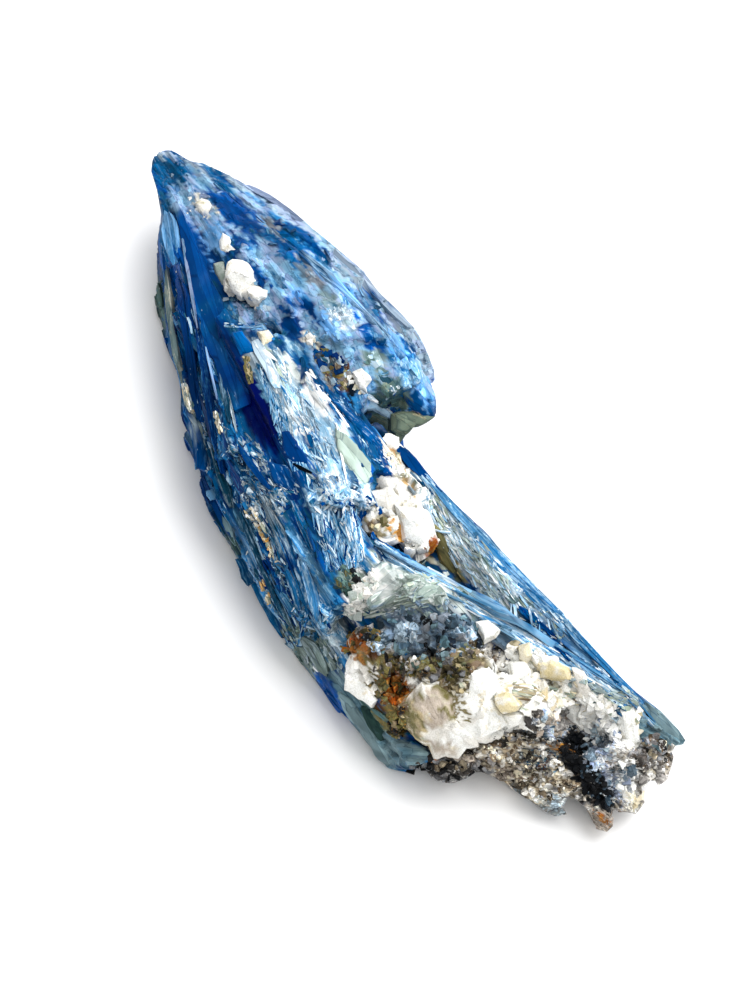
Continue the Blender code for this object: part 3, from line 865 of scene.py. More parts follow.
class Heap:
    """Many small closed shapes gathered into one mesh."""

    def __init__(self):
        self.points, self.grain, self.pick, self.quads, self.fans, self.mixes = [], [], [], [], [], []
        self.count = 0

    def add(self, points, grain, pick, quads, fans, mix_name=UNDER):
        """Takes in a shape whose faces are quads and fans of triangles."""
        self.points.append(points)
        self.grain.append(grain)
        self.pick.append(np.full(len(points), pick))
        self.mixes.append(mix_name)
        self.quads.append(quads + self.count)
        self.fans.append(fans + self.count)
        self.count += len(points)

    def build(self, name, slot, sharp_degrees=25, contrast=0.0):
        """Makes the mesh, each shape in its own mix and a little brighter or darker than the next."""
        points = settled(np.concatenate(self.points))
        grain = np.concatenate(self.grain)
        faces = [f for f in (np.concatenate(self.quads), np.concatenate(self.fans)) if len(f)]
        obj = mesh_object(name, points, faces)
        pick = np.concatenate(self.pick)
        look = paint(points, grain, pick, slot)
        names = np.repeat(self.mixes, [len(part) for part in self.points])
        for mix_name in sorted(set(names) - {UNDER}):
            own = names == mix_name
            look[own] = mixed(mix_name, pick[own])
        shade = mottle(points, slot) * (1 + contrast * (again(pick, SHADE_PICK) - 0.5))
        dress(obj, grain, look, shade, slot, sharp_degrees)
        return obj


NO_QUADS = np.zeros((0, 4), int)
APART = 300  # the most that a blade's or plate's grain is shifted, so that no two look alike
BLOCKS_APART = 50  # and a block's


def tube_faces(rows, columns):
    """Quads around a closed tube of rows x columns points, and fans over its two ends."""
    r, c = np.meshgrid(np.arange(rows - 1), np.arange(columns), indexing="ij")
    r, c = r.ravel(), c.ravel()
    n = (c + 1) % columns
    quads = np.stack([r * columns + c, r * columns + n, (r + 1) * columns + n, (r + 1) * columns + c], axis=1)
    c = np.arange(columns)
    n = (c + 1) % columns
    last = (rows - 1) * columns
    middle = np.full(columns, rows * columns)  # the two fans' middles follow the tube's points
    root = np.stack([n, c, middle], axis=1)
    tip = np.stack([last + c, last + n, middle + 1], axis=1)
    return quads, np.concatenate([root, tip])


# ---------------------------------------------------------------- blades

BRIDGE = 0.5  # mm that a blade may stand off over a hollow
STRAIGHT = 9.0  # mm of length for each degree of a path's curve in depth
STRAY = 1.7  # times longer than it looks that a path may be
ALIKE = 0.9  # cosine from which a path seems to follow the grain
ALIGNED = 0.9  # least cosine between such a path and the grain
SINK = 0.5  # mm that a blade's sides go down into the body under it
BLADE_STEP = 1.3  # mm between the rows of a blade
CUT_SPAN = (0.12, 0.88)  # shares of a blade's width between which it may split into strands
STRAND_HEIGHTS = (0.5, 1.0)  # shares of its thickness
TAPER = 0.25  # share of its length over which each end narrows
GROOVE = 0.02  # share of a blade's width on each side of the groove between two strands
STRAND_WAVE = 0.12  # share of its thickness that a strand's height wanders
CREVICE = 0.4  # mm behind a path's trend from which a hit lies in a crevice
LEEWAY = 0.5  # mm that a path may leave the depths of the hits that count
TOWARDS_VIEW = 0.6  # how much a laid blade turns its face to the camera
WALK_BLUR = 1.5  # rows over which a path on the surface is smoothed


def along_path(path, at):
    """Points at shares from 0 to 1 of a path."""
    stops = np.linspace(0, 1, len(path))
    return np.stack([np.interp(at, stops, path[:, i]) for i in range(path.shape[1])], axis=-1)


def ribbon(heap, path, normals, widths, thickness, strands, rng, mix_name=UNDER, ragged=0.06, point=0.7):
    """A blade along a path, in strands that each have their own height and their own broken ends."""
    rows = len(path)
    axis = unit(np.gradient(path, axis=0))
    across = unit(np.cross(axis, normals))
    normals = unit(np.cross(across, axis))
    cuts = np.sort(np.concatenate([[0, 1], rng.uniform(*CUT_SPAN, strands - 1)])) - 0.5
    heights = rng.uniform(*STRAND_HEIGHTS, strands)
    starts = rng.uniform(0, ragged, strands)
    ends = 1 - rng.uniform(0, ragged, strands)
    sides, rises, strand = [-0.5], [-1.0], [0]
    for i in range(strands):
        sides += [cuts[i] + GROOVE, cuts[i + 1] - GROOVE]
        rises += [heights[i], heights[i]]
        strand += [i, i]
    sides, rises, strand = np.array(sides + [0.5]), np.array(rises + [-1.0]), np.array(strand + [strands - 1])
    u = np.linspace(0, 1, rows)[:, None]
    u = starts[strand] + u * (ends[strand] - starts[strand])
    centre, side, up = along_path(path, u), along_path(across, u), along_path(normals, u)
    width = along_path(widths[:, None], u)[..., 0]
    shrink = mix(point, 1.0, np.minimum(1, np.minimum(u, 1 - u) / TAPER))
    rise = np.where(rises > 0, rises * thickness, -SINK) * np.ones_like(u)
    rise += np.where(rises > 0, rng.uniform(-STRAND_WAVE, STRAND_WAVE, u.shape) * thickness, 0)
    v = sides * width * shrink
    grid = (centre + v[..., None] * side + rise[..., None] * up).reshape(-1, 3)
    ends_at = np.stack([grid[:len(sides)].mean(0), grid[-len(sides):].mean(0)])
    length = np.linalg.norm(np.diff(path, axis=0), axis=1).sum()
    local = np.stack([u * length, v, rise], axis=-1).reshape(-1, 3)
    local = np.vstack([local, local[:len(sides)].mean(0), local[-len(sides):].mean(0)])
    local += rng.uniform(-APART, APART, 3)
    quads, fans = tube_faces(rows, len(sides))
    heap.add(np.vstack([grid, ends_at]), local, rng.random(), quads, fans, mix_name)


# A laid blade: its path in the view as (x, y, width) in pixels, thickness in mm, strands and mix.
Laid = namedtuple("Laid", "path thickness strands mix")

LAID_BLADES = [Laid(*row) for row in (
    # Flank.
    ([(169, 212, 12), (172, 235, 19), (178, 268, 17)], 0.8, 5, "cap"),
    ([(181, 226, 3), (187, 262, 4), (192, 292, 3), (200, 340, 3)], 0.7, 2, "coating"),
    ([(161, 262, 8), (160, 290, 10), (164, 320, 8)], 0.5, 2, "moss"),
    ([(165, 331, 6), (170, 345, 5)], 0.6, 1, "royal"),
    ([(168, 266, 6), (171, 310, 7), (178, 356, 7), (184, 385, 5)], 0.7, 4, "cream_moss"),
    ([(178, 268, 13), (184, 300, 13), (191, 350, 12), (198, 400, 11), (206, 440, 9)], 0.6, 5, "dark_flank"),
    ([(196, 310, 7), (202, 350, 10), (210, 395, 10), (217, 440, 10), (228, 490, 8)], 0.5, 5, "flank"),
    ([(188, 316, 3), (191, 326, 4), (193, 336, 3)], 0.5, 2, "flaky"),
    ([(205, 342, 2), (213, 378, 2.5), (220, 410, 2)], 0.5, 1, "coating"),
    ([(218, 345, 6), (223, 380, 9), (230, 425, 7)], 0.4, 3, "low_flank"),
    ([(224, 382, 2), (231, 408, 2.5), (238, 440, 2)], 0.6, 2, "flaky_grey"),
    ([(188, 404, 8), (189, 440, 9), (196, 476, 8)], 1.1, 5, UNDER),
    ([(238, 558, 8), (250, 586, 8)], 1.1, 4, "low_flank"),
    ([(196, 456, 10), (204, 485, 11), (215, 514, 8)], 0.6, 4, "flank"),
    ([(208, 474, 3.5), (216, 504, 4)], 0.9, 1, "cap"),
    ([(212, 444, 8), (224, 480, 9), (236, 516, 8)], 0.6, 5, "low_flank"),
    ([(224, 455, 4), (236, 500, 5)], 0.8, 1, "low_pale"),
    ([(236, 442, 5), (254, 468, 7), (272, 492, 5)], 0.5, 2, "dark_flank"),
    ([(220, 500, 7), (228, 526, 9), (239, 552, 8)], 0.6, 4, "corner"),
    ([(240, 504, 10), (257, 545, 13), (280, 598, 12), (298, 636, 8)], 0.6, 6, UNDER),
    ([(262, 496, 12), (284, 540, 15), (302, 586, 14), (312, 618, 9)], 0.6, 7, UNDER),
    ([(286, 566, 8), (296, 590, 9), (302, 614, 6)], 0.8, 4, "low_pale"),
    ([(304, 560, 9), (314, 592, 11), (320, 622, 7)], 0.8, 5, "low_pale"),
    ([(292, 500, 7), (306, 530, 8), (316, 556, 6)], 0.5, 5, "low_flank"),
    ([(246, 564, 8), (264, 602, 10), (284, 638, 9)], 0.5, 4, "flank"),
    # The smooth face.
    ([(173, 199, 18), (180, 214, 12), (187, 236, 13), (195, 262, 19), (203, 290, 25), (214, 320, 32),
      (226, 352, 34), (237, 386, 30), (247, 420, 22), (255, 446, 10)], 0.4, 1, UNDER),
    # Crown.
    ([(263, 350, 3), (270, 356, 3), (278, 363, 3)], 0.7, 1, "snow"),
    ([(336, 424, 2), (340, 450, 2), (347, 486, 2)], 0.6, 1, "snow"),
    ([(292, 463, 3), (304, 470, 4), (314, 474, 3)], 0.2, 1, "black"),
    # Painted shade: a thin black strip laid along the same gap between blades.
    ([(352, 377, 4), (351, 388, 5), (353, 400, 4)], 0.2, 1, "black"),
    ([(360, 389, 4), (368, 396, 5), (378, 402, 4)], 0.6, 2, "flaky_white"),
    # Ridges towards the far corner.
    ([(395, 445, 8), (412, 462, 14), (430, 482, 9)], 0.4, 3, "royal"),
    ([(426, 478, 8), (462, 518, 10), (520, 580, 9)], 0.4, 4, "low_pale"),
    ([(408, 484, 5), (425, 508, 7), (440, 536, 7), (458, 570, 5)], 0.5, 4, "mossy"),
    ([(466, 522, 8), (532, 590, 9), (596, 656, 9), (668, 730, 6)], 0.4, 4, "ridge"),
    ([(494, 560, 8), (554, 616, 9), (608, 672, 8)], 0.4, 4, "low_pale"),
    ([(368, 542, 4), (420, 568, 6), (480, 598, 6), (540, 634, 5)], 0.5, 4, "ridge_line"),
    ([(440, 584, 4), (500, 614, 6), (570, 656, 6), (640, 704, 4)], 0.5, 4, "ridge"),
    # Where the flank steps down to the foot.
    ([(300, 636, 12), (316, 658, 13), (328, 676, 8)], 0.4, 6, "dim_moss"),
)]


def held(points, reach, tree):
    """Points pulled back to within reach of the surface."""
    near = np.array([tree.find_nearest(Vector(p))[0] for p in points])
    away = points - near
    far = np.linalg.norm(away, axis=1, keepdims=True)
    return near + away * np.minimum(1, reach / np.maximum(far, 1e-6))


def strays(path, length):
    """Whether a path runs off into the depth, or away from the grain that it seems to follow."""
    way = unit(path[-1] - path[0])
    grain = grain_direction(path[len(path) // 2][None])[0]
    seems = unit(way - BACK * (way @ BACK)) @ unit(grain - BACK * (grain @ BACK))
    too_long = np.linalg.norm(np.diff(path, axis=0), axis=1).sum() > STRAY * length
    return too_long or (abs(seems) > ALIKE and abs(way @ grain) < ALIGNED)


def path_on_surface(stops, tree):
    """A smooth path over the surface under pixels of the view, with its normals and its widths.

    A path that strays is laid along the grain instead, through its middle.
    """
    stops = np.array(stops, float)
    length = PIXEL * np.linalg.norm(np.diff(stops[:, :2], axis=0), axis=1).sum()
    rows = max(4, int(length / BLADE_STEP) + 1)
    dense = along_path(stops, np.linspace(0, 1, rows))
    hits = [hit(x, y, tree) for x, y, _ in dense]
    depth = np.array([(EYE - place) @ BACK for place, _ in hits])
    share = np.linspace(-1, 1, rows)
    bend = min(3, 1 + int(length / STRAIGHT))
    trend = np.polyval(np.polyfit(share, depth, bend), share)
    near = depth < trend + CREVICE  # hits down in a crevice don't pull the path in
    if near.sum() > bend + 1:
        trend = np.polyval(np.polyfit(share[near], depth[near], bend), share)
        trend = np.clip(trend, depth[near].min() - LEEWAY, depth[near].max() + LEEWAY)
    rays = np.array([pixel_ray(x, y) for x, y, _ in dense])
    path = held(EYE + rays * (trend / -(rays @ BACK))[:, None], BRIDGE, tree)
    normal = unit(np.mean([n for _, n in hits], axis=0) + TOWARDS_VIEW * BACK)
    normals = np.tile(normal, (rows, 1))
    if strays(path, length):
        place, normal = hits[rows // 2]
        along = grain_direction(place[None])[0]
        path, normals = walk(place, unit(along - normal * (along @ normal)), length, tree)
    return path, normals, dense[:, 2] * PIXEL


def laid_blades(tree):
    """The blades that stand out one by one, each laid where the view shows it."""
    heap = Heap()
    rng = np.random.default_rng(5)
    for row in LAID_BLADES:
        path, normals, widths = path_on_surface(row.path, tree)
        widths = widths * rng.uniform(0.8, 1.15, len(widths))
        ribbon(heap, path, normals, widths, row.thickness, row.strands, rng, row.mix, ragged=0.15, point=0.35)
    return heap.build("laid_blades", "kyanite", contrast=0.15)


def surface_samples(node, count, rng):
    """Points spread over a CAD node's surface, with its normals."""
    points, triangles = node_arrays(node)
    a, b, c = (points[triangles[:, i]] for i in range(3))
    normal = np.cross(b - a, c - a)
    area = np.linalg.norm(normal, axis=1)
    chosen = rng.choice(len(area), count, p=area / area.sum())
    s, t = rng.random(count), rng.random(count)
    over = s + t > 1
    s[over], t[over] = 1 - s[over], 1 - t[over]
    place = a[chosen] + (b - a)[chosen] * s[:, None] + (c - a)[chosen] * t[:, None]
    return place, normal[chosen] / area[chosen, None]


def walk(place, direction, length, tree):
    """A path over the surface that keeps close to a direction."""
    rows = max(4, int(length / BLADE_STEP) + 1)
    start = place - direction * length / 2
    found = [tree.find_nearest(Vector(start + direction * length * i / (rows - 1))) for i in range(rows)]
    spots = np.array([f[0] for f in found])
    normals = np.array([f[1] for f in found])
    blur = np.exp(-0.5 * ((np.arange(rows)[:, None] - np.arange(rows)) / WALK_BLUR) ** 2)
    blur /= blur.sum(axis=1, keepdims=True)
    return blur @ spots, unit(blur @ normals)


# Ellipses of the view where no blades are scattered, because the laid pieces show there.
BARE = [WEDGE, SMOOTH_FACE, (310, 430, 100, 52, 54), (385, 450, 100, 56, 50), (350, 545, 40, 40, 0),
        (470, 680, 150, 70, 20)]
KEPT_IN_VIEW = 0.3  # share of the scattered blades that stay where the view shows the surface
LEAST_ALONG = 0.6  # share of the grain's direction that has to lie in the surface
GROWN_TURN = 0.03  # spread of a scattered blade's turn from the grain
LEAST_STEP = 0.2 * BLADE_STEP  # mm between the rows of a path; one that folds more is left out
LEAST_ALIKE = 0.5  # cosine between its normals; one that bends more is left out
FACES_VIEW = 0.1  # cosine with the camera's direction from which a place shows in the view
BARE_FROM = 0.5  # share of a bare ellipse from which a place counts as bare


# Scattered blades: their piece, how many, their lengths, widths and thickness in mm, strands and seed.
SCATTERED = (
    ("grown_blades", 700, (8, 22), (1.2, 2.6), 0.4, 3, 51),
    ("splinters", 1200, (3, 8), (0.35, 0.9), 0.35, 2, 52),
)


def scattered_blades(name, count, lengths, widths, thickness, strands, seed, tree):
    """Blades scattered over the kyanite along its grain, few where the view shows laid ones."""
    rng = np.random.default_rng(seed)
    places, normals = surface_samples("kyanite_blades", count, rng)
    directions = grain_direction(places)
    facing = normals @ BACK > FACES_VIEW
    bare = np.max([near_pixel(places, *ellipse) for ellipse in BARE], axis=0) > BARE_FROM
    heap = Heap()
    for place, normal, direction, shown, empty in zip(places, normals, directions, facing, bare):
        if shown and (empty or rng.random() > KEPT_IN_VIEW):
            continue
        along = direction - normal * (direction @ normal)
        if np.linalg.norm(along) < LEAST_ALONG:
            continue
        along = unit(unit(along) + rng.normal(0, GROWN_TURN, 3))
        path, path_normals = walk(place, along, rng.uniform(*lengths), tree)
        steps = np.linalg.norm(np.diff(path, axis=0), axis=1)
        between = (path[1:] + path[:-1]) / 2
        if steps.min() < LEAST_STEP or (path_normals @ path_normals[0]).min() < LEAST_ALIKE:
            continue
        if np.abs(between - held(between, BRIDGE, tree)).max() > 0:
            continue
        width = rng.uniform(*widths)
        taper = mix(rng.uniform(0.5, 1), rng.uniform(0.5, 1), np.linspace(0, 1, len(path)))
        thick = thickness * rng.uniform(0.5, 1.2)
        ribbon(heap, path, path_normals, width * taper, thick, strands, rng, point=0.5)
    return heap.build(name, "kyanite", contrast=0.5)


# ---------------------------------------------------------------- fibres

# A tuft: a band of the view from (x0, y0) to (x1, y1), its widths there in pixels, how many fibres
# lie in it, their lengths and thickness in mm, their widths in pixels, and the mixes drawn from.
Tuft = namedtuple("Tuft", "x0 y0 x1 y1 width0 width1 count length thick wide mixes")
TUFTS = [Tuft(*row) for row in (
    (268, 352, 330, 486, 22, 34, 60, 4.0, 0.1, 4, "under under flaky_grey"),
    (266, 352, 332, 490, 24, 40, 300, 3.0, 0.06, 1.6, "under under flaky flaky_blue low_pale"),
    (262, 360, 300, 470, 16, 18, 220, 2.0, 0.06, 1.6, "window flaky_blue flaky_blue low_flank"),
    (262, 346, 290, 384, 12, 14, 60, 1.6, 0.06, 2.0, "sage crown_plate flaky_grey"),
    (306, 372, 346, 430, 10, 18, 50, 3.0, 0.1, 3, "snow flaky_white under"),
    (245, 356, 251, 384, 8, 5, 60, 1.2, 0.06, 1.8, "olive olive_cream dark_olive"),
    (330, 390, 390, 470, 14, 18, 70, 1.2, 0.07, 1.4, "flaky specks window"),
    (224, 325, 270, 327, 4, 8, 50, 1.0, 0.06, 1.5, "flaky flaky_blue coating bright_coat"),
    (336, 510, 344, 570, 48, 30, 200, 5.0, 0.1, 2, "fibres flaky cobalt flaky_blue fibres"),
    (348, 512, 358, 562, 20, 16, 70, 3.5, 0.14, 2, "flaky_white flaky fibres"),
    (362, 614, 438, 578, 10, 54, 110, 6.0, 0.08, 1.6, "fan_grey fan sage fan_grey"),
    (440, 510, 560, 640, 30, 40, 200, 3.0, 0.1, 2, "mossy flaky flaky_white sage"),
    (450, 530, 504, 600, 22, 24, 190, 2.5, 0.3, 1.8, "flaky_white fan fan flaky"),
    (430, 496, 450, 532, 14, 16, 50, 2.5, 0.3, 1.8, "flaky_white flaky sage"),
    (372, 546, 630, 700, 14, 10, 260, 5.0, 0.1, 2, "ridge_line flaky flaky_white low_pale"),
    (520, 606, 572, 660, 8, 8, 50, 3.0, 0.3, 2, "window dark_flank cobalt"),
    (552, 636, 612, 692, 9, 8, 60, 3.0, 0.3, 1.8, "flaky ridge_line flaky_white"),
    (414, 468, 656, 724, 12, 9, 200, 6.0, 0.1, 2, "ridge flaky_white ridge_line flaky"),
    (182, 300, 240, 510, 26, 36, 190, 4.0, 0.1, 2, "flank low_pale dark_flank low_flank"),
    (178, 262, 236, 500, 22, 34, 150, 1.2, 0.06, 1.4, "flaky_grey flaky_blue dark_flank"),
    (184, 384, 201, 452, 5, 7, 110, 1.8, 0.3, 1.8, "cream straw cream cream_moss"),
    (199, 424, 212, 470, 12, 12, 60, 1.6, 0.5, 1.6, "low_flank mossy low_flank"),
    (262, 560, 284, 604, 12, 12, 40, 2.5, 0.6, 2, "face_side window dark_flank"),
    (216, 412, 221, 434, 4, 5, 26, 1.2, 0.3, 1.6, "straw cream"),
    (248, 500, 312, 640, 34, 44, 60, 5.0, 0.2, 4, "low_flank low_pale face_side"),
    (252, 510, 312, 640, 34, 44, 240, 4.0, 0.11, 2, "low_flank flaky low_pale face_side"),
    (252, 510, 312, 640, 40, 50, 240, 1.6, 0.07, 1.6, "flaky_grey flaky mossy dark_flank"),
    (249, 510, 263, 530, 11, 9, 50, 1.0, 0.6, 2.0, "cream snow straw"),
    (262, 526, 271, 550, 5, 6, 26, 1.4, 0.75, 2.0, "ochre straw"),
    (267, 538, 276, 562, 7, 8, 30, 1.2, 0.75, 2.0, "straw straw sage"),
    (263, 580, 271, 604, 4, 5, 18, 1.4, 0.5, 2.0, "ochre straw"),
    (236, 440, 290, 500, 24, 32, 150, 2.0, 0.08, 1.8, "low_flank flaky_grey face_side flaky_grey"),
    (334, 484, 344, 516, 58, 50, 120, 1.8, 0.12, 2.5, "flaky_blue flaky_white flaky"),
    (512, 690, 582, 700, 16, 14, 110, 3.0, 0.14, 2.4, "straw sage olive_cream straw snow"),
    (592, 684, 640, 706, 16, 20, 90, 2.5, 0.12, 3, "grey_green sage fan"),
)]
SKEW = 0.07  # share of a tuft's width that the ends of a fibre swing by


def fibres(tree):
    """Fine fibres and splinters that lie along the blades."""
    heap = Heap()
    rng = np.random.default_rng(8)
    for tuft in TUFTS:
        start, end = np.array([tuft.x0, tuft.y0]), np.array([tuft.x1, tuft.y1])
        line = end - start
        side = np.array([-line[1], line[0]]) / np.linalg.norm(line)
        for _ in range(tuft.count):
            at, across, swing = rng.random(), rng.uniform(-0.5, 0.5), rng.normal(0, SKEW)
            half = rng.uniform(0.3, 1.0) * tuft.length / 2 / PIXEL / np.linalg.norm(line)
            stops = []
            for share in (max(at - half, 0), at, min(at + half, 1)):
                spread = (across + swing * (share - at) / half) * mix(tuft.width0, tuft.width1, share)
                x, y = start + line * share + side * spread
                stops.append((x, y, rng.uniform(0.6, 1.4) * tuft.wide))
            path, normals, widths = path_on_surface(stops, tree)
            mix_name = one_of(tuft.mixes.split(), rng)
            ribbon(heap, path, normals, widths, tuft.thick, 1, rng, mix_name, point=0.15)
    return heap.build("fibres", "kyanite", contrast=0.3)


# ---------------------------------------------------------------- plates

# A plate: its corners in the view, its lift and the rise of its middle in mm, its tilt and its grain's turn
# in degrees, and its mix.
Plate = namedtuple("Plate", "corners lift dome tilt turn mix")
EDGE_STEP = 0.5  # mm between the points of a plate's edge
EDGE_WANDER = 0.22  # mm
EDGE_FINENESS = 1.3  # waves of the wandering edge in a mm
BEVEL = 0.22  # mm
PLATE_BRIDGE = 0.5  # mm that a plate's edge may stand off besides its lift
PLATE_TOWARDS_VIEW = 0.5  # how much a plate turns its face to the camera
PLATE_FACET = 2.4  # mm
WAVE_FINENESS = 0.7  # waves of its surface in a mm
PLATE_FOOT = 1.0  # mm that its sides reach into the surface
RINGS = 9  # rings of points over a plate
PLATE_RELIEF = 0.1  # mm, on every plate
DOME_RELIEF = 0.25  # and more with each mm that it rises

KYANITE_PLATES = [Plate(*row) for row in (
    ([(402, 392), (414, 386), (434, 408), (436, 417), (426, 422), (410, 410)], 0.3, 0.3, 4, 50, UNDER),
    ([(231, 331), (242, 330), (256, 351), (250, 355), (240, 354)], 0.4, 0.1, 5, 60, "bright_royal"),
    ([(281, 431), (288, 430), (306, 455), (310, 466), (292, 464), (282, 453)], 0.4, 0.1, 4, 60, "cobalt"),
    ([(266, 460), (288, 466), (308, 478), (306, 492), (290, 494), (272, 484)], 0.3, 0.3, 4, 60, "specks"),
    ([(335, 421), (347, 429), (371, 463), (372, 476), (366, 484), (348, 487), (346, 467),
      (338, 447)], 0.1, 0.3, 2, 58, "crown_plate"),
    ([(331, 399), (351, 406), (375, 433), (386, 447), (390, 466), (376, 460),
      (346, 417)], 0.2, 0.3, 3, 50, "specks"),
    ([(352, 396), (368, 397), (382, 406), (394, 414), (392, 421), (378, 413),
      (354, 407)], 1.3, 0.3, 5, 28, "rim"),
    ([(354, 408), (378, 414), (394, 421), (400, 424), (402, 436), (388, 434),
      (370, 424)], 0.6, 0.4, 5, 28, "blunt_end"),
    ([(392, 414), (412, 410), (430, 414), (437, 418), (428, 424), (414, 431), (402, 437),
      (392, 430)], 0.8, 0.3, 4, 28, "blunt_end"),
    ([(434, 524), (440, 530), (452, 552), (466, 581), (457, 580), (440, 562),
      (434, 545)], 0.4, 0.2, 6, 60, "dark_olive"),
    ([(646, 702), (668, 714), (684, 738), (684, 745), (662, 741), (648, 722)], 0.2, 0.5, 3, 46, "corner"),
    ([(336, 692), (350, 700), (372, 720), (392, 744), (408, 764), (404, 772), (385, 766), (366, 752),
      (350, 730)], 0.1, 0.5, 2, 58, "corner"),
    ([(360, 706), (370, 708), (384, 730), (380, 742), (366, 724)], 0.7, 0.2, 4, 60, "moss"),
    ([(368, 612), (364, 590), (368, 572), (380, 562), (396, 560), (418, 568), (438, 583), (450, 600),
      (436, 606), (414, 602), (392, 606)], 0.3, 0.8, 2, -38, UNDER),
)]
QUARTZ_PLATES = [Plate(*row) for row in (
    ([(222, 232), (229, 236), (231, 245), (238, 252), (229, 255), (220, 251),
      (219, 240)], 0.3, 0.3, 6, 0, "snow"),
    ([(226, 259), (237, 257), (247, 262), (252, 270), (253, 281), (246, 291), (241, 298), (233, 292),
      (228, 284), (225, 275)], 0.6, 0.2, 6, 0, "snow"),
    ([(213, 263), (224, 260), (227, 274), (232, 288), (222, 286), (214, 274)], 0.2, 0.2, 5, 0, "fan_grey"),
    ([(248, 293), (257, 288), (268, 290), (267, 298), (259, 304), (251, 300)], 0.3, 0.5, 5, 0, "snow"),
    ([(194, 203), (201, 198), (209, 200), (212, 210), (206, 218), (198, 213)], 0.2, 0.3, 7, 0, "cream"),
    ([(257, 331), (268, 329), (273, 336), (270, 346), (262, 350)], 0.1, 0.3, 4, 0, "cream"),
    ([(352, 370), (361, 366), (372, 379), (366, 387), (368, 396), (358, 390)], 0.4, 0.6, 8, 0, "snow"),
    ([(345, 668), (358, 661), (366, 672), (371, 684), (376, 700), (368, 708), (356, 701),
      (344, 690)], 0.5, 0.4, 5, 60, "snow"),
    ([(395, 504), (428, 508), (436, 530), (428, 552), (402, 540)], 0.5, 0.7, 5, 0, "snow"),
    ([(366, 492), (390, 486), (402, 500), (392, 514), (370, 510)], 0.4, 0.6, 7, 0, "quartz"),
    # The foot: its clear lump, white block, yellow crystal and smaller pieces.
    ([(410, 688), (420, 684), (442, 686), (452, 697), (456, 709), (466, 724), (477, 737), (478, 748),
      (470, 757), (458, 760), (446, 756), (430, 757), (420, 752), (414, 740), (406, 724),
      (404, 702)], 0.2, 1.5, 2, 70, UNDER),
    ([(470, 671), (492, 668), (501, 686), (494, 698), (504, 714), (509, 727), (493, 733), (480, 738),
      (458, 707), (462, 694)], 0.5, 1.0, 3, 60, "snow"),
    ([(494, 696), (506, 692), (518, 706), (515, 712), (502, 714), (494, 704)], 1.4, 0.5, 6, 0, "yellow"),
    ([(500, 714), (518, 712), (526, 714), (520, 724), (508, 730)], 0.8, 0.4, 6, 0, "quartz"),
    ([(476, 622), (488, 620), (502, 630), (496, 638), (484, 644), (478, 632)], 0.5, 0.6, 5, 0, "snow"),
    ([(508, 662), (526, 660), (532, 674), (524, 682), (510, 680)], 0.6, 0.5, 8, 0, "quartz"),
    ([(518, 646), (527, 644), (531, 656), (526, 664), (519, 660)], 0.6, 0.4, 8, 70, "yellow"),
    ([(538, 664), (550, 660), (568, 669), (571, 680), (556, 682), (541, 678)], 0.5, 0.4, 6, 20, "yellow"),
    ([(572, 668), (584, 672), (594, 690), (590, 702), (578, 696), (574, 682)], 0.3, 0.3, 6, 40, "quartz"),
    ([(620, 710), (634, 706), (642, 722), (640, 742), (628, 746), (622, 732)], 0.3, 0.5, 6, 70, "snow"),
)]


def plate(heap, row, rng, tree):
    """A piece with bevelled, slightly wandering edges, whose outline fills its corners in the view."""
    corners = np.array(row.corners, float)
    following = np.roll(corners, -1, axis=0)
    if np.sum(corners[:, 0] * following[:, 1] - corners[:, 1] * following[:, 0]) > 0:
        corners = corners[::-1]  # so that the faces turn outwards
    middle = corners.mean(axis=0)
    around = np.vstack([corners, mix(corners, middle, 0.5), middle])
    spots, normals = zip(*(hit(x, y, tree) for x, y in around))
    centre = np.median(spots, axis=0)
    normal = unit(np.mean(normals, axis=0) + PLATE_TOWARDS_VIEW * BACK)
    lean = rng.normal(size=3)
    lean = unit(lean - normal * (lean @ normal))
    normal = unit(normal + lean * math.tan(math.radians(row.tilt)))
    centre = centre + normal * row.lift
    edge = []
    for a, b in zip(corners, np.roll(corners, -1, axis=0)):
        count = max(1, int(np.linalg.norm(b - a) * PIXEL / EDGE_STEP))
        edge += [mix(a, b, i / count) for i in range(count)]
    rays = unit(np.array([pixel_ray(x, y) for x, y in edge]))
    outline = EYE + rays * ((centre - EYE) @ normal / (rays @ normal))[:, None]
    outline = held(outline, row.lift + PLATE_BRIDGE, tree)
    inward = unit(centre - outline)
    outline = outline + inward * (EDGE_WANDER * fractal(outline * EDGE_FINENESS, 81, 3))[:, None]
    top = outline + inward * BEVEL
    rings = [outline - normal * (row.lift + PLATE_FOOT), outline - normal * BEVEL]
    relief = PLATE_RELIEF + DOME_RELIEF * row.dome
    for share in np.linspace(1, 0.1, RINGS):
        ring = mix(centre, top, share) + normal * row.dome * math.sqrt(1 - share ** 3)
        bumps = 0.6 * facets(ring / PLATE_FACET, 82, 1.0, 0.3) + 0.7 * fractal(ring * WAVE_FINENESS, 83, 3)
        rings.append(ring + normal * (relief * bumps)[:, None])
    points = np.vstack(rings + [rings[0].mean(0), rings[-1].mean(0)])
    quads, fans = tube_faces(len(rings), len(edge))
    turn = math.radians(row.turn)
    ahead = middle + (10 * math.cos(turn), 10 * math.sin(turn))
    along = unit(pixel_ray(*ahead) - pixel_ray(*middle))
    across = np.cross(normal, along)
    local = (points - centre) @ np.stack([along, across, normal], axis=1)
    local += rng.uniform(-APART, APART, 3)
    heap.add(points, local, rng.random(), quads, fans, row.mix)


def plates(name, rows, slot, tree):
    """The flat cleavage plates of one mineral."""
    heap = Heap()
    rng = np.random.default_rng(len(rows))
    for row in rows:
        plate(heap, row, rng, tree)
    return heap.build(name, slot, sharp_degrees=12)


# ---------------------------------------------------------------- blocks and grains

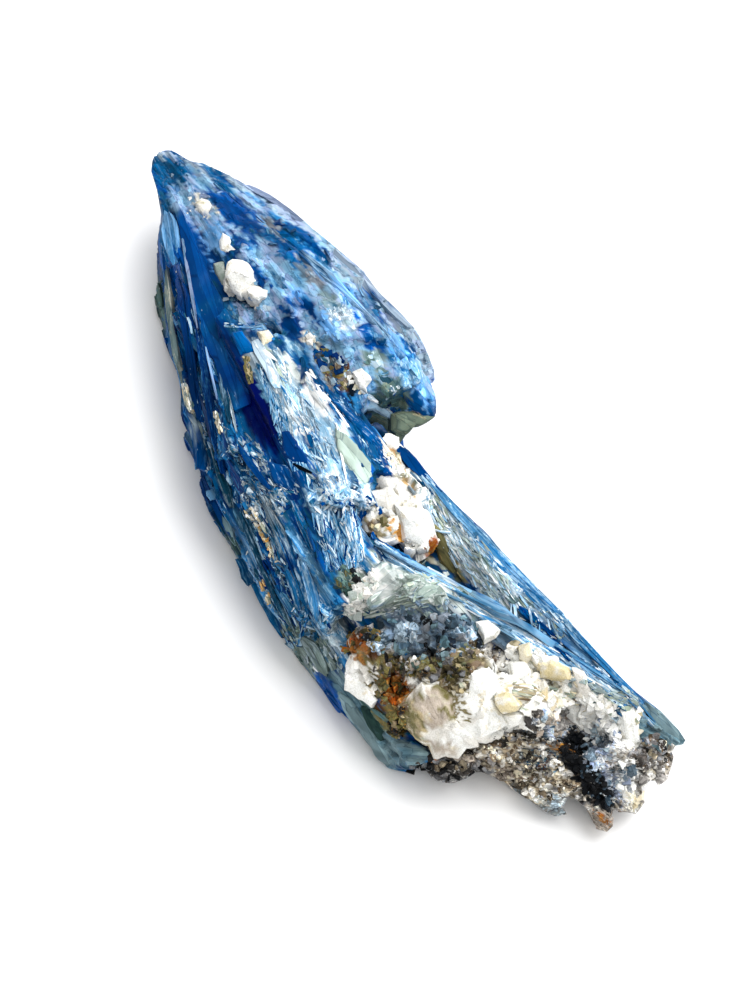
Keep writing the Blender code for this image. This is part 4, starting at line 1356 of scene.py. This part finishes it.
# A cluster of blocks: an ellipse of the view, how many, their sizes in mm, how thick they are for their
# size, and the mixes drawn from. Thin ones lie flat along the grain.
Cluster = namedtuple("Cluster", "x y long short turn count small large flat mixes")
FLAKES = [Cluster(*row) for row in (
    (215, 205, 60, 24, 40, 30, 0.5, 1.6, 0.12, "under under under rim"),
    (300, 275, 80, 46, 45, 70, 0.5, 1.8, 0.12, "under under under coating"),
    (375, 345, 64, 42, 50, 80, 0.5, 1.8, 0.12, "under"),
    (348, 581, 13, 13, 0, 70, 0.5, 1.2, 0.3, "olive moss olive moss"),
    (248, 310, 26, 12, 20, 40, 0.6, 1.6, 0.16, "coating coating rim"),
    (262, 482, 40, 20, 60, 90, 0.4, 1.2, 0.16, "specks flank flaky_blue flaky_grey"),
    (262, 504, 20, 11, 20, 80, 0.5, 1.4, 0.25, "flaky_grey mossy flaky low_flank flaky_grey"),
    (290, 575, 84, 34, 62, 80, 0.5, 1.6, 0.16, "low_flank under under flaky_blue"),
    (308, 650, 36, 18, 28, 90, 0.5, 1.5, 0.16, "dim_moss mossy mossy dim_moss"),
    (420, 590, 50, 24, 12, 60, 0.5, 1.6, 0.18, "fan_grey sage sage grey_green"),
    (490, 588, 14, 8, 45, 30, 0.6, 1.4, 0.4, "flaky_white fan snow"),
    (490, 560, 70, 22, 50, 90, 0.4, 1.3, 0.16, "mossy flaky sage under"),
    (334, 368, 24, 12, 48, 44, 0.8, 2.0, 0.4, "brown dark_flank flaky_grey brown umber"),
    (320, 354, 14, 6, 20, 9, 1.0, 1.8, 0.4, "window dark_flank moss"),
    (392, 400, 12, 14, 40, 22, 0.6, 1.4, 0.4, "blunt_end flaky_grey moss dark_flank"),
    (350, 504, 34, 13, 10, 70, 0.5, 1.3, 0.2, "flaky_blue flaky flaky_white royal"),
)]
QUARTZ_BLOCKS = [Cluster(*row) for row in (
    (538, 668, 38, 16, 30, 60, 0.7, 2.0, 1.0, "snow quartz snow cream straw"),
    (590, 694, 34, 10, 36, 50, 0.6, 1.6, 1.0, "white_grains snow grey_green quartz"),
    (566, 702, 34, 6, 12, 26, 0.7, 1.8, 1.0, "snow white_grains straw"),
    (588, 710, 20, 18, 20, 70, 0.8, 1.9, 1.0, "snow quartz snow"),
    (610, 726, 14, 11, 0, 40, 0.7, 1.6, 1.0, "snow lilac_white snow"),
    (508, 660, 10, 10, 0, 12, 0.8, 1.6, 1.0, "snow quartz"),
    (454, 684, 14, 7, 10, 24, 0.7, 1.5, 1.0, "cream olive_cream band"),
    (400, 520, 30, 24, 40, 14, 0.8, 2.0, 1.0, "snow quartz cream"),
    (378, 524, 8, 6, 0, 3, 1.0, 1.6, 1.0, "olive_cream"),
    (397, 460, 22, 4, 62, 12, 0.6, 1.2, 1.0, "cream cream straw"),
    (313, 340, 9, 4, 30, 6, 0.6, 1.3, 1.0, "cream quartz"),
    (360, 382, 12, 10, 40, 8, 0.6, 1.3, 1.0, "snow cream"),
    (196, 210, 14, 10, 60, 6, 0.5, 1.1, 1.0, "cream snow quartz"),
    (630, 726, 10, 20, 0, 20, 0.7, 1.8, 1.0, "snow snow cream"),
    (628, 776, 9, 17, 0, 20, 0.7, 1.8, 1.0, "snow lilac_white"),
    (636, 802, 9, 9, 0, 8, 0.8, 1.6, 1.0, "cream yellow"),
    (357, 602, 9, 18, 24, 60, 0.7, 1.6, 1.0, "snow snow quartz pale_sage"),
    (371, 580, 7, 12, 35, 26, 0.6, 1.3, 1.0, "snow quartz pale_sage"),
)]
ROCK_BLOCKS = [Cluster(*row) for row in (
    (430, 634, 52, 26, 4, 110, 0.7, 2.0, 1.0, "blue_black blue_grey blue_grey corner"),
    (412, 626, 11, 14, 0, 7, 1.6, 2.6, 1.0, "pale_grains"),
    (450, 612, 8, 8, 0, 4, 1.4, 2.0, 1.0, "pale_grains"),
    (466, 630, 11, 11, 0, 6, 1.6, 2.4, 1.0, "blue_grey pale_grains"),
    (436, 652, 16, 8, 10, 24, 0.7, 1.4, 1.0, "black dark"),
    (472, 646, 6, 8, 0, 5, 1.2, 1.8, 1.0, "olive dark brown_grey"),
    (432, 668, 46, 11, 2, 110, 0.5, 1.3, 1.0, "band dark olive umber band olive_cream"),
    (472, 648, 12, 9, 0, 20, 0.6, 1.6, 1.0, "band dark olive"),
    (388, 666, 9, 10, 0, 16, 0.6, 1.4, 1.0, "umber dark brown_grey"),
    (381, 648, 9, 7, 0, 16, 0.6, 1.4, 1.0, "pale_grains corner lilac_white"),
    (382, 690, 5, 12, 0, 12, 0.6, 1.2, 1.0, "umber olive"),
    (409, 662, 9, 6, 0, 14, 0.6, 1.3, 1.0, "cream milky warm_grey"),
    (465, 759, 9, 4, 0, 12, 0.6, 1.2, 1.0, "warm_grey milky"),
    (353, 643, 10, 11, 60, 24, 0.5, 1.2, 1.0, "rust umber rust"),
    (368, 636, 12, 9, 20, 24, 0.6, 1.4, 1.0, "umber dark band blue_black"),
    (397, 692, 11, 14, 0, 36, 0.7, 1.6, 1.0, "rust rust umber"),
    (397, 722, 10, 16, 0, 30, 0.7, 1.5, 1.0, "umber olive_cream umber"),
    (448, 772, 42, 12, 4, 80, 0.6, 1.7, 1.0, "dark black dark brown_grey"),
    (655, 778, 12, 8, -10, 16, 0.8, 1.8, 1.0, "dark brown_grey"),
    (525, 768, 46, 28, 32, 130, 0.4, 1.2, 1.0, "brown_grey cream granular brown_grey"),
    (545, 722, 20, 12, 20, 50, 0.6, 1.6, 1.0, "warm_grey dark milky lilac_white"),
    (572, 746, 15, 14, 0, 50, 0.5, 1.2, 1.0, "black"),
    (592, 782, 34, 11, 58, 90, 0.6, 1.4, 1.0, "black black black blue_black"),
    (597, 744, 15, 27, 10, 50, 0.6, 1.7, 1.0, "lilac_white lilac_white snow slate"),
    (657, 758, 16, 22, 0, 60, 0.5, 1.3, 1.0, "dark brown_grey granular granular"),
)]
PICK_GAIN = 0.9  # how much a block's colour follows the noise of its place
PICK_FINENESS = 0.6
PICK_SPREAD = 0.25  # and how much it differs from its neighbours'
BLOCK_SHARP = 15  # degrees from which an edge of a block stays sharp
CUTS = 8  # flat breaks that shape a block
CUT_DEPTHS = (0.28, 0.5)  # how far they lie from its middle, for a block of size 1
CLUSTER_SHAPES = 24  # different blocks in the clusters
GRAIN_SHAPES = 12  # and among the scattered grains
FLAKE_FORM = (1.3, 0.8)  # a flake's length and width for its size
FLAKE_TILT = 0.12  # spread of its tilt
FLAKE_TURN = 0.25  # and of its turn from the grain
SUNK = (0.1, 0.3)  # share of its size that a block is set into the surface
GRAIN_SUNK = 0.2
GRAINS = 2600  # scattered over the mica rock
GRAIN_SIZES = (0.3, 0.85)  # mm


def local_pick(place, rng):
    """A number from 0 to 1 that is alike for neighbours."""
    pick = 0.5 + PICK_GAIN * noise(place[None] * PICK_FINENESS, 63)[0]
    return float(np.clip(pick + rng.uniform(-PICK_SPREAD, PICK_SPREAD), 0, 0.999))


def broken_block(rng):
    """A block of unit size with flat breaks on all sides, as points and triangles."""
    bm = bmesh.new()
    bmesh.ops.create_cube(bm, size=1.0)
    for _ in range(CUTS):
        way = unit(rng.normal(size=3))
        everything = bm.verts[:] + bm.edges[:] + bm.faces[:]
        spot = way * rng.uniform(*CUT_DEPTHS)
        bmesh.ops.bisect_plane(bm, geom=everything, plane_co=spot, plane_no=way, clear_outer=True)
        bmesh.ops.holes_fill(bm, edges=bm.edges[:])
    bmesh.ops.triangulate(bm, faces=bm.faces[:])
    bm.verts.index_update()
    points = np.array([v.co for v in bm.verts])
    triangles = np.array([[v.index for v in f.verts] for f in bm.faces])
    bm.free()
    return points, triangles


def random_turn(rng):
    """A turn in any direction, as a matrix."""
    w, x, y, z = unit(rng.normal(size=4))
    return np.array([
        [1 - 2 * (y * y + z * z), 2 * (x * y - z * w), 2 * (x * z + y * w)],
        [2 * (x * y + z * w), 1 - 2 * (x * x + z * z), 2 * (y * z - x * w)],
        [2 * (x * z - y * w), 2 * (y * z + x * w), 1 - 2 * (x * x + y * y)],
    ])


def flat_turn(place, normal, rng):
    """Axes of a flake that lies nearly flat, and nearly along the grain."""
    up = unit(normal + rng.normal(0, FLAKE_TILT, 3))
    along = grain_direction(place[None])[0] + rng.normal(0, FLAKE_TURN, 3)
    along = unit(along - up * (along @ up))
    return np.stack([along, np.cross(up, along), up])


def clusters(name, rows, slot, tree, seed):
    """Broken blocks set into the surface where the view shows them."""
    rng = np.random.default_rng(seed)
    shapes = [broken_block(rng) for _ in range(CLUSTER_SHAPES)]
    heap = Heap()
    for row in rows:
        turn = math.radians(row.turn)
        along = np.array([math.cos(turn), math.sin(turn)])
        across = np.array([-along[1], along[0]])
        for _ in range(row.count):
            r, a = math.sqrt(rng.random()), rng.uniform(0, 2 * math.pi)
            x, y = (row.x, row.y) + along * row.long * r * math.cos(a) + across * row.short * r * math.sin(a)
            place, normal = hit(x, y, tree)
            size = rng.uniform(row.small, row.large)
            shape, triangles = one_of(shapes, rng)
            points = shape * size * rng.uniform(0.6, 1.0, 3)
            if row.flat < 1:
                points = points * (*FLAKE_FORM, row.flat) @ flat_turn(place, normal, rng)
            else:
                points = points @ random_turn(rng).T
            points = points + place - normal * size * row.flat * rng.uniform(*SUNK)
            mix_name = one_of(row.mixes.split(), rng)
            pick = local_pick(place, rng)
            local = points + rng.uniform(-BLOCKS_APART, BLOCKS_APART, 3)
            heap.add(points, local, pick, NO_QUADS, triangles, mix_name)
    return heap.build(name, slot, sharp_degrees=BLOCK_SHARP, contrast=0.4)


def rock_grains(tree):
    """Small broken grains over the whole of the mica rock, seen or not."""
    rng = np.random.default_rng(73)
    shapes = [broken_block(rng) for _ in range(GRAIN_SHAPES)]
    places, _ = surface_samples("mica_rock", GRAINS, rng)
    heap = Heap()
    for place in places:
        spot, normal, _, _ = tree.find_nearest(Vector(place))
        size = rng.uniform(*GRAIN_SIZES)
        shape, triangles = one_of(shapes, rng)
        points = (shape * size * rng.uniform(0.5, 1.0, 3)) @ random_turn(rng).T
        points = points + np.array(spot) - np.array(normal) * size * GRAIN_SUNK
        local = points + rng.uniform(-BLOCKS_APART, BLOCKS_APART, 3)
        heap.add(points, local, local_pick(place, rng), NO_QUADS, triangles)
    return heap.build("rock_grains", "mica_rock", sharp_degrees=BLOCK_SHARP, contrast=0.5)


# ---------------------------------------------------------------- materials

class Nodes:
    """Short calls for building a material around its Principled shader."""

    def __init__(self, name, roughness, specular):
        material = bpy.data.materials.new(name + LOOK)
        material.use_nodes = True
        self.tree = material.node_tree
        self.shader = self.tree.nodes["Principled BSDF"]
        self.shader.inputs["Roughness"].default_value = roughness
        self.shader.inputs["Specular IOR Level"].default_value = specular

    def add(self, kind, inputs=(), **properties):
        """A node whose inputs are linked to sockets or set to values."""
        node = self.tree.nodes.new(kind)
        for key, value in properties.items():
            setattr(node, key, value)
        for key, value in dict(inputs).items():
            if isinstance(value, bpy.types.NodeSocket):
                self.tree.links.new(value, node.inputs[key])
            else:
                node.inputs[key].default_value = value
        return node

    def set(self, name, source):
        """Links a socket to the shader."""
        self.tree.links.new(source, self.shader.inputs[name])

    def attribute(self, name, output):
        return self.add("ShaderNodeAttribute", attribute_name=name).outputs[output]

    def scaled(self, vector, scale):
        return self.add("ShaderNodeVectorMath", {0: vector, 1: scale}, operation="MULTIPLY").outputs[0]

    def noise(self, vector, detail, roughness=0.55):
        inputs = {"Vector": vector, "Scale": 1.0, "Detail": detail, "Roughness": roughness}
        return self.add("ShaderNodeTexNoise", inputs).outputs["Fac"]

    def cells(self, vector, feature, output):
        inputs = {"Vector": vector, "Scale": 1.0}
        return self.add("ShaderNodeTexVoronoi", inputs, feature=feature).outputs[output]

    def math(self, operation, a, b):
        return self.add("ShaderNodeMath", {0: a, 1: b}, operation=operation).outputs[0]

    def ramp(self, value, low, high, out_low=0.0, out_high=1.0):
        inputs = {"Value": value, "From Min": low, "From Max": high, "To Min": out_low, "To Max": out_high}
        return self.add("ShaderNodeMapRange", inputs, interpolation_type="SMOOTHSTEP").outputs["Result"]

    def blend(self, mode, share, a, b):
        return self.add("ShaderNodeMix", {0: share, 6: a, 7: b}, data_type="RGBA", blend_type=mode).outputs[2]

    def bump(self, height, distance, strength):
        inputs = {"Height": height, "Distance": distance, "Strength": strength}
        return self.add("ShaderNodeBump", inputs).outputs["Normal"]

    def veined(self, pattern, sharpness):
        """The paint with its veins where the pattern is high, as much of it as their share says."""
        share = self.attribute("paint", "Alpha")
        level = self.math("ADD", pattern, self.math("MULTIPLY", self.math("SUBTRACT", share, 0.5), 0.5))
        mask = self.ramp(level, 0.5 - sharpness, 0.5 + sharpness)
        return self.blend("MIX", mask, self.attribute("paint", "Color"), self.attribute("veins", "Color"))

    def random_grey(self, cell_colour, low, high):
        """A random brightness for each cell."""
        red = self.add("ShaderNodeSeparateColor", {0: cell_colour}).outputs[0]
        inputs = {channel: self.ramp(red, 0, 1, low, high) for channel in range(3)}
        return self.add("ShaderNodeCombineColor", inputs).outputs[0]


def kyanite_material():
    """Glassy streaks and flecks along the grain, with dark seams between strips and few pale dots."""
    n = Nodes("kyanite", 0.35, 0.07)
    n.shader.inputs["Specular Tint"].default_value = (0.0, 0.4, 1.0, 1)
    grain = n.attribute("grain", "Vector")
    streaks = n.noise(n.scaled(grain, (0.18, 1.6, 1.6)), 8, 0.68)
    flecks = n.noise(n.scaled(grain, (1.3, 4.0, 4.0)), 5, 0.65)
    pattern = n.math("ADD", n.math("MULTIPLY", streaks, 0.62), n.math("MULTIPLY", flecks, 0.38))
    strips = n.cells(n.scaled(grain, (0.1, 1.1, 1.1)), "F1", "Color")
    edges = n.cells(n.scaled(grain, (0.1, 1.1, 1.1)), "DISTANCE_TO_EDGE", "Distance")
    colour = n.blend("MULTIPLY", 1.0, n.veined(pattern, 0.07), n.random_grey(strips, 0.72, 1.2))
    colour = n.blend("MULTIPLY", n.ramp(edges, 0.0, 0.05, 0.6, 0.0), colour, (0.25, 0.3, 0.4, 1))
    spacing = n.scaled(grain, (0.8, 1.6, 1.6))
    dots = n.ramp(n.cells(spacing, "F1", "Distance"), 0.05, 0.13, 1.0, 0.0)
    few = n.ramp(n.noise(n.scaled(grain, (0.25, 0.5, 0.5)), 2), 0.52, 0.62, 0.0, 0.4)
    colour = n.blend("MIX", n.math("MULTIPLY", dots, few), colour, (0.5, 0.62, 0.72, 1))
    n.set("Base Color", colour)
    n.set("Roughness", n.ramp(flecks, 0.4, 0.65, 0.3, 0.6))
    n.set("Normal", n.bump(streaks, 0.00012, 0.6))


def quartz_material():
    """Cloudy quartz with a sugary surface."""
    n = Nodes("quartz", 0.4, 0.3)
    grain = n.attribute("grain", "Vector")
    cloud = n.noise(n.scaled(grain, (0.9, 0.9, 0.9)), 6, 0.6)
    sugar = n.noise(n.scaled(grain, (6.0, 6.0, 6.0)), 3)
    grey = n.blend("MIX", n.ramp(sugar, 0.35, 0.65), (0.82, 0.81, 0.78, 1), (1.0, 1.0, 1.0, 1))
    n.set("Base Color", n.blend("MULTIPLY", 1.0, n.veined(cloud, 0.1), grey))
    n.set("Roughness", n.ramp(sugar, 0.4, 0.6, 0.25, 0.55))
    n.set("Normal", n.bump(sugar, 0.0001, 0.5))


def rock_material():
    """Speckled mica rock in crumbs of their own brightness."""
    n = Nodes("mica_rock", 0.6, 0.12)
    grain = n.attribute("grain", "Vector")
    crumbs = n.cells(n.scaled(grain, (1.9, 1.9, 1.9)), "F1", "Color")
    speckle = n.noise(n.scaled(grain, (2.6, 2.6, 2.6)), 6, 0.7)
    n.set("Base Color", n.blend("MULTIPLY", 1.0, n.veined(speckle, 0.05), n.random_grey(crumbs, 0.5, 1.3)))
    n.set("Roughness", n.ramp(speckle, 0.4, 0.6, 0.35, 0.75))
    n.set("Normal", n.bump(speckle, 0.0002, 0.7))


# ---------------------------------------------------------------- stage

FLOOR_HALF = 3.0  # metres
FLOOR_DROP = 0.0001  # metres under the cluster, so that the two don't share a plane
FLOOR_GREY = 0.95
SKY_STRENGTH = 0.6
LAMP_DISTANCE = 0.8  # metres
NEAR_CLIP = 0.01  # metres
LAMPS = (  # name, azimuth and elevation in degrees, size in metres, watts
    ("key", 185, 52, 1.0, 12.5),
    ("fill", 90, 50, 0.6, 2.0),
)


def stage():
    """The pale floor, the soft lights and the camera."""
    mesh = bpy.data.meshes.new("floor")
    corners = [(x * FLOOR_HALF, y * FLOOR_HALF, 0) for x, y in ((-1, -1), (1, -1), (1, 1), (-1, 1))]
    mesh.from_pydata(corners, [], [(0, 1, 2, 3)])
    floor = new_object("floor", mesh)
    floor.location.z = -FLOOR_DROP
    material = Nodes("pale_floor", 0.9, 0.1)
    material.shader.inputs["Base Color"].default_value = (FLOOR_GREY, FLOOR_GREY, FLOOR_GREY, 1)
    mesh.materials.append(bpy.data.materials["pale_floor" + LOOK])

    world = bpy.data.worlds.new("studio")
    world.use_nodes = True
    background = world.node_tree.nodes["Background"].inputs
    background["Color"].default_value = (1.0, 1.0, 1.0, 1)
    background["Strength"].default_value = SKY_STRENGTH
    bpy.context.scene.world = world

    for name, azimuth, elevation, size, watts in LAMPS:
        lamp = new_object(name, bpy.data.lights.new(name, "AREA"))
        lamp.data.size = size
        lamp.data.energy = watts
        way = Vector(way_towards(azimuth, elevation))
        lamp.location = way * LAMP_DISTANCE
        lamp.rotation_euler = way.to_track_quat("Z", "Y").to_euler()

    camera = new_object("camera", bpy.data.cameras.new("camera"))
    camera.data.lens = LENS
    camera.data.sensor_width = SENSOR
    camera.data.clip_start = NEAR_CLIP
    camera.location = Vector(EYE) * MM
    camera.rotation_euler = Vector(BACK).to_track_quat("Z", "Y").to_euler()
    bpy.context.scene.camera = camera
    bpy.context.scene.view_settings.view_transform = "Standard"


def main():
    """Builds the stage, the materials, the skins and all that lies on them."""
    stage()
    kyanite_material()
    quartz_material()
    rock_material()
    skins = [kyanite_skin(), rock_skin()]
    skins += [quartz_skin(node) for node in ("quartz_foot", "quartz_corner", "quartz_notch", "quartz_upper")]
    surface = tree_of(skins)
    laid_blades(surface)
    for row in SCATTERED:
        scattered_blades(*row, surface)
    fibres(surface)
    plates("kyanite_plates", KYANITE_PLATES, "kyanite", surface)
    plates("quartz_plates", QUARTZ_PLATES, "quartz", surface)
    clusters("flakes", FLAKES, "kyanite", surface, 70)
    clusters("quartz_blocks", QUARTZ_BLOCKS, "quartz", surface, 71)
    clusters("rock_blocks", ROCK_BLOCKS, "mica_rock", surface, 72)
    rock_grains(surface)


main()
